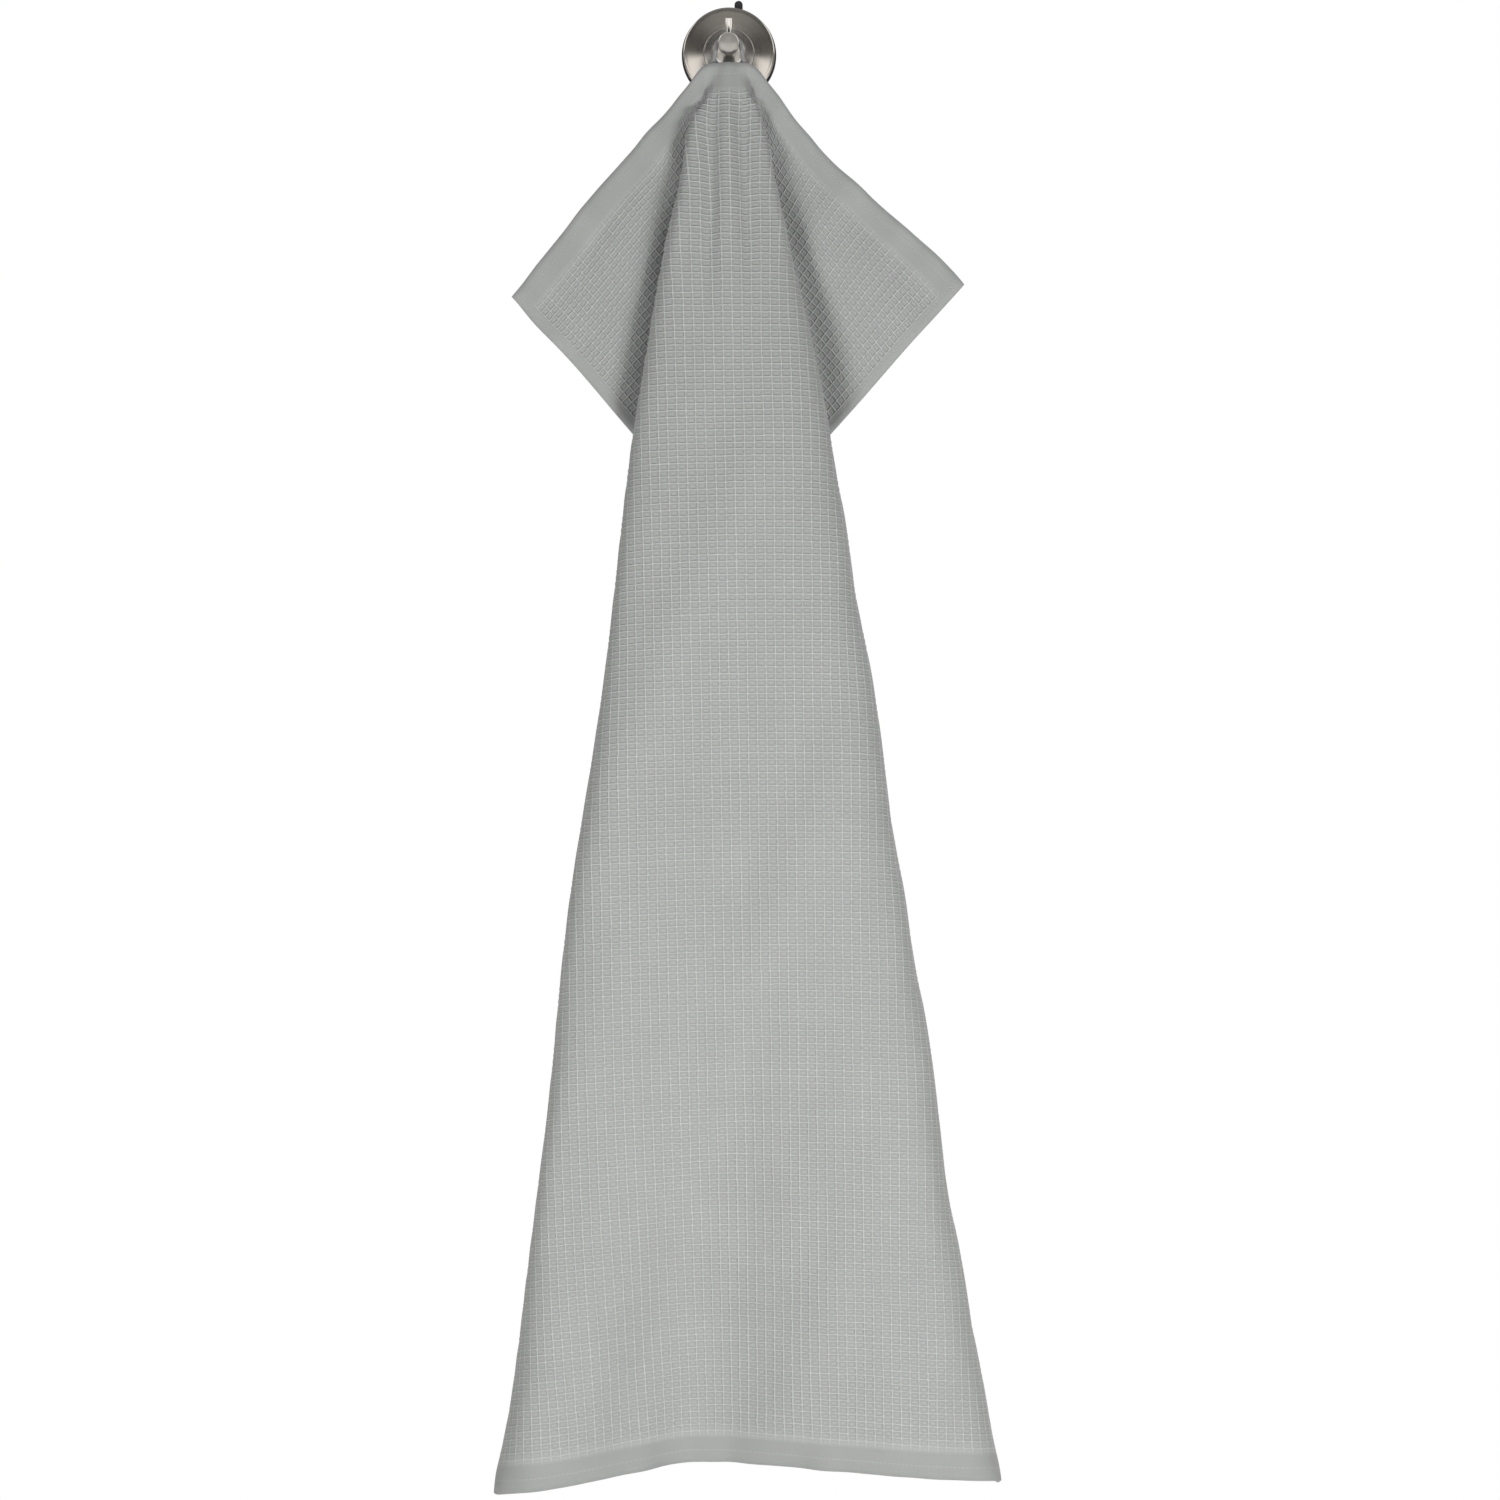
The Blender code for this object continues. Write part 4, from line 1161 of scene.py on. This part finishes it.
class TowelSettings(bpy.types.PropertyGroup):
    """Sizes and colours of the towel."""

    cloth_colour: FloatVectorProperty(
        name="Cloth colour", description="Colour of the cotton", subtype="COLOR", size=3,
        min=0.0, max=1.0, default=(0.415, 0.424, 0.416))
    rib_height: FloatProperty(
        name="Rib height", description="How far the ribs stand above the ditches beside them", unit="LENGTH",
        subtype="DISTANCE", min=0.0, max=0.002, precision=5, default=0.0006)
    creases: FloatProperty(
        name="Creases", description="How strongly the soft creases show", subtype="FACTOR",
        min=0.0, max=2.0, default=1.0)


class LoopSettings(bpy.types.PropertyGroup):
    """Sizes and colours of the hanging loop."""

    tape_colour: FloatVectorProperty(
        name="Tape colour", description="Colour of the loop's tape", subtype="COLOR", size=3,
        min=0.0, max=1.0, default=(0.36, 0.365, 0.36))
    fullness: FloatProperty(
        name="Fullness", description="Thickness of the tape against the packed one", subtype="FACTOR",
        min=0.8, max=1.1, default=1.06)


class HookSettings(bpy.types.PropertyGroup):
    """Colours and finish of the suction-cup hook."""

    cap_colour: FloatVectorProperty(
        name="Cap colour", description="Colour of the brushed steel cap", subtype="COLOR", size=3,
        min=0.0, max=1.0, default=(0.66, 0.63, 0.59))
    peg_colour: FloatVectorProperty(
        name="Peg colour", description="Colour of the turned steel peg", subtype="COLOR", size=3,
        min=0.0, max=1.0, default=(0.70, 0.685, 0.66))
    rubber_colour: FloatVectorProperty(
        name="Rubber colour", description="Colour of the suction cup", subtype="COLOR", size=3,
        min=0.0, max=1.0, default=(0.016, 0.016, 0.017))
    cap_radius: FloatProperty(
        name="Cap radius", description="Radius of the steel cap", unit="LENGTH", subtype="DISTANCE",
        precision=4, default=packed_radius("cup_cap") + 0.0006)
    head_radius: FloatProperty(
        name="Head radius", description="Radius of the peg's head", unit="LENGTH", subtype="DISTANCE",
        precision=4, default=packed_radius("peg_head"))


class StageSettings(bpy.types.PropertyGroup):
    """Floor, lights and room."""

    floor_colour: FloatVectorProperty(
        name="Floor colour", description="Colour of the floor", subtype="COLOR", size=3,
        min=0.0, max=1.0, default=(0.82, 0.82, 0.81))
    floor_drop: FloatProperty(
        name="Floor drop", description="How far the floor lies below the towel", unit="LENGTH",
        subtype="DISTANCE", default=0.36)
    room_light: FloatProperty(
        name="Room light", description="Strength of the light from all round", min=0.0, default=0.13)
    reflections: FloatProperty(
        name="Reflections", description="Brightness of the room that the steel reflects", min=0.0,
        default=1.0)
    key_light: FloatProperty(
        name="Key light", description="Power of each soft light in front", unit="POWER", min=0.0,
        default=19.2)


class TOWEL_OT_cloth(bpy.types.Operator):
    """Lay the waffle-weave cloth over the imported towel's folds"""

    bl_idname = "towel.cloth"
    bl_label = "Towel"

    def execute(self, context):
        settings = context.scene.towel_cloth
        towel = mesh_piece("waffle_towel", "cloth", *towel_sheet(settings.creases))
        towel.data.materials.append(cloth_material(settings))
        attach(towel, "root")
        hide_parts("towel")
        return {"FINISHED"}


class TOWEL_OT_loop(bpy.types.Operator):
    """Sweep the hanging loop's tape over the peg and down behind the hem"""

    bl_idname = "towel.loop"
    bl_label = "Hanging loop"

    def execute(self, context):
        settings = context.scene.towel_loop
        rings, around, along = loop_rings(settings.fullness)
        count, sides = rings.shape[:2]
        ends = [rings[0].mean(axis=0), rings[-1].mean(axis=0)]
        faces = []
        for ring in range(count - 1):
            for side in range(sides):
                after = (side + 1) % sides
                start, end = ring * sides, (ring + 1) * sides
                faces.append((start + side, start + after, end + after, end + side))
        last = (count - 1) * sides
        for side in range(sides):
            after = (side + 1) % sides
            faces.append((count * sides, after, side))
            faces.append((count * sides + 1, last + side, last + after))
        flat = [(share, run) for run in along for share in around] + [(0.0, 0.0), (0.0, along[-1])]
        places = np.concatenate([rings.reshape(-1, 3), ends])
        loop = mesh_piece("loop_tape", "tape", places, faces, flat)
        pick(loop)
        edit_all()
        finish_edit()
        loop.data.materials.append(tape_material(settings))
        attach(loop, "root")
        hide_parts("hanging_loop")
        return {"FINISHED"}


class TOWEL_OT_cup(bpy.types.Operator):
    """Turn the rubber suction cup and join its pull tab to it"""

    bl_idname = "towel.cup"
    bl_label = "Suction cup"

    def execute(self, context):
        settings = context.scene.towel_hook
        low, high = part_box("suction_cup")
        cup = turned("cup_rubber", cup_profile(packed_radius("suction_cup") + CUP_EXTRA))
        tab = pull_tab(high[2] + TAB_RISE, TAB_ACROSS, TAB_WIDTH, TAB_THICKNESS)
        pick(cup)
        union = cup.modifiers.new("Pull tab", "BOOLEAN")
        union.operation = "UNION"
        union.object = tab
        bpy.ops.object.modifier_apply(modifier=union.name)
        bpy.data.objects.remove(tab, do_unlink=True)
        bpy.ops.object.shade_smooth_by_angle(angle=SHARP_ANGLE)
        cup.data.materials.clear()
        cup.data.materials.append(rubber_material(settings))
        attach(cup, "root")
        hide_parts("suction_cup")
        return {"FINISHED"}


class TOWEL_OT_cap(bpy.types.Operator):
    """Turn the dished steel cap"""

    bl_idname = "towel.cap"
    bl_label = "Steel cap"

    def execute(self, context):
        settings = context.scene.towel_hook
        cap = turned("steel_cap", cap_profile(settings.cap_radius))
        cap.data.materials.append(steel_material("Brushed steel cap", settings.cap_colour, *CAP_STEEL))
        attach(cap, "root")
        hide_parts("cup_cap")
        return {"FINISHED"}


class TOWEL_OT_peg(bpy.types.Operator):
    """Turn the peg's neck and head, and stand the pin behind the head"""

    bl_idname = "towel.peg"
    bl_label = "Peg"

    def execute(self, context):
        settings = context.scene.towel_hook
        neck = turned("turned_neck", neck_profile())
        head = turned("turned_head", head_profile(settings.head_radius))
        pin = self.stand_pin()
        for piece, node, slot, name, finish in (
            (neck, "peg_neck", "neck_steel", "Turned neck steel", NECK_STEEL),
            (head, "peg_head", "head_steel", "Turned head steel", HEAD_STEEL),
            (pin, "retaining_pin", "pin_steel", "Polished pin steel", PIN_STEEL),
        ):
            piece.data.materials.append(steel_material(name, settings.peg_colour, *finish))
            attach(piece, "root")
            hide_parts(node)
        return {"FINISHED"}

    def stand_pin(self):
        """The upright pin, with a softly rounded top."""
        low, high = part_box("retaining_pin")
        radius = packed_radius("retaining_pin")
        select_nothing()
        bpy.ops.mesh.primitive_cylinder_add(
            vertices=PIN_SIDES, radius=radius, depth=high[2] - low[2],
            location=(0.0, (low[1] + high[1]) / 2, (high[2] + low[2]) / 2))
        pin = named("upright_pin")
        settle(pin)
        soften(pin, width=PIN_SOFTNESS, segments=4)
        bpy.ops.object.shade_smooth_by_angle(angle=SHARP_ANGLE)
        return pin


class TOWEL_OT_stage(bpy.types.Operator):
    """Set the floor, the lights, the room and the camera"""

    bl_idname = "towel.stage"
    bl_label = "Stage"

    def execute(self, context):
        settings = context.scene.towel_stage
        floor_height = packed_box[0][2] - settings.floor_drop
        select_nothing()
        bpy.ops.mesh.primitive_circle_add(vertices=FLOOR_SIDES, radius=FLOOR_RADIUS, fill_type="NGON",
                                          location=(0.0, 0.0, floor_height))
        floor = named("floor")
        settle(floor)
        edit_all()
        extrude((0.0, 0.0, -FLOOR_THICKNESS))
        finish_edit()
        floor.data.materials.append(floor_material(settings))

        light_surroundings(settings)
        for name, place, size in (
            ("left_light", (-LIGHT_ASIDE, -LIGHT_FORWARD, LIGHT_HEIGHT), LIGHT_SIZE),
            ("right_light", (LIGHT_ASIDE, -LIGHT_FORWARD, LIGHT_HEIGHT), LIGHT_SIZE),
            ("back_light", BACK_LIGHT_PLACE, BACK_LIGHT_SIZE),
        ):
            soft_light(name, place, size, settings.key_light * LIGHT_SHARES[name])

        bpy.ops.object.camera_add(location=CAMERA_PLACE, rotation=(math.pi / 2, 0.0, 0.0))
        camera = context.object
        camera.data.lens = CAMERA_LENS
        camera.data.sensor_width = CAMERA_SENSOR
        camera.data.dof.use_dof = False
        context.scene.camera = camera
        context.scene.view_settings.view_transform = "Standard"
        return {"FINISHED"}


class TOWEL_PT_panel(bpy.types.Panel):
    """The towel's pieces and their settings"""

    bl_idname = "TOWEL_PT_panel"
    bl_label = "Hand towel on a hook"
    bl_space_type = "VIEW_3D"
    bl_region_type = "UI"
    bl_category = "Towel"

    def draw(self, context):
        for title, name, operators in PANEL_PARTS:
            box = self.layout.box()
            box.label(text=title)
            settings = getattr(context.scene, name)
            for key in settings.bl_rna.properties.keys():
                if key not in ("rna_type", "name"):
                    box.prop(settings, key)
            for operator in operators:
                box.operator(operator)


PANEL_PARTS = (
    ("Towel", "towel_cloth", ("towel.cloth",)),
    ("Loop", "towel_loop", ("towel.loop",)),
    ("Hook", "towel_hook", ("towel.cup", "towel.cap", "towel.peg")),
    ("Stage", "towel_stage", ("towel.stage",)),
)
SETTINGS = (
    ("towel_cloth", TowelSettings),
    ("towel_loop", LoopSettings),
    ("towel_hook", HookSettings),
    ("towel_stage", StageSettings),
)
OPERATORS = (TOWEL_OT_cloth, TOWEL_OT_loop, TOWEL_OT_cup, TOWEL_OT_cap, TOWEL_OT_peg, TOWEL_OT_stage)


def register():
    for name, group in SETTINGS:
        bpy.utils.register_class(group)
        setattr(bpy.types.Scene, name, PointerProperty(type=group))
    for operator in (*OPERATORS, TOWEL_PT_panel):
        bpy.utils.register_class(operator)


def unregister():
    for operator in (TOWEL_PT_panel, *reversed(OPERATORS)):
        bpy.utils.unregister_class(operator)
    for name, group in reversed(SETTINGS):
        delattr(bpy.types.Scene, name)
        bpy.utils.unregister_class(group)


def main():
    """Build every piece and the stage."""
    register()
    bpy.ops.towel.loop()
    bpy.ops.towel.cloth()
    bpy.ops.towel.cup()
    bpy.ops.towel.cap()
    bpy.ops.towel.peg()
    bpy.ops.towel.stage()


if __name__ == "__main__":
    main()
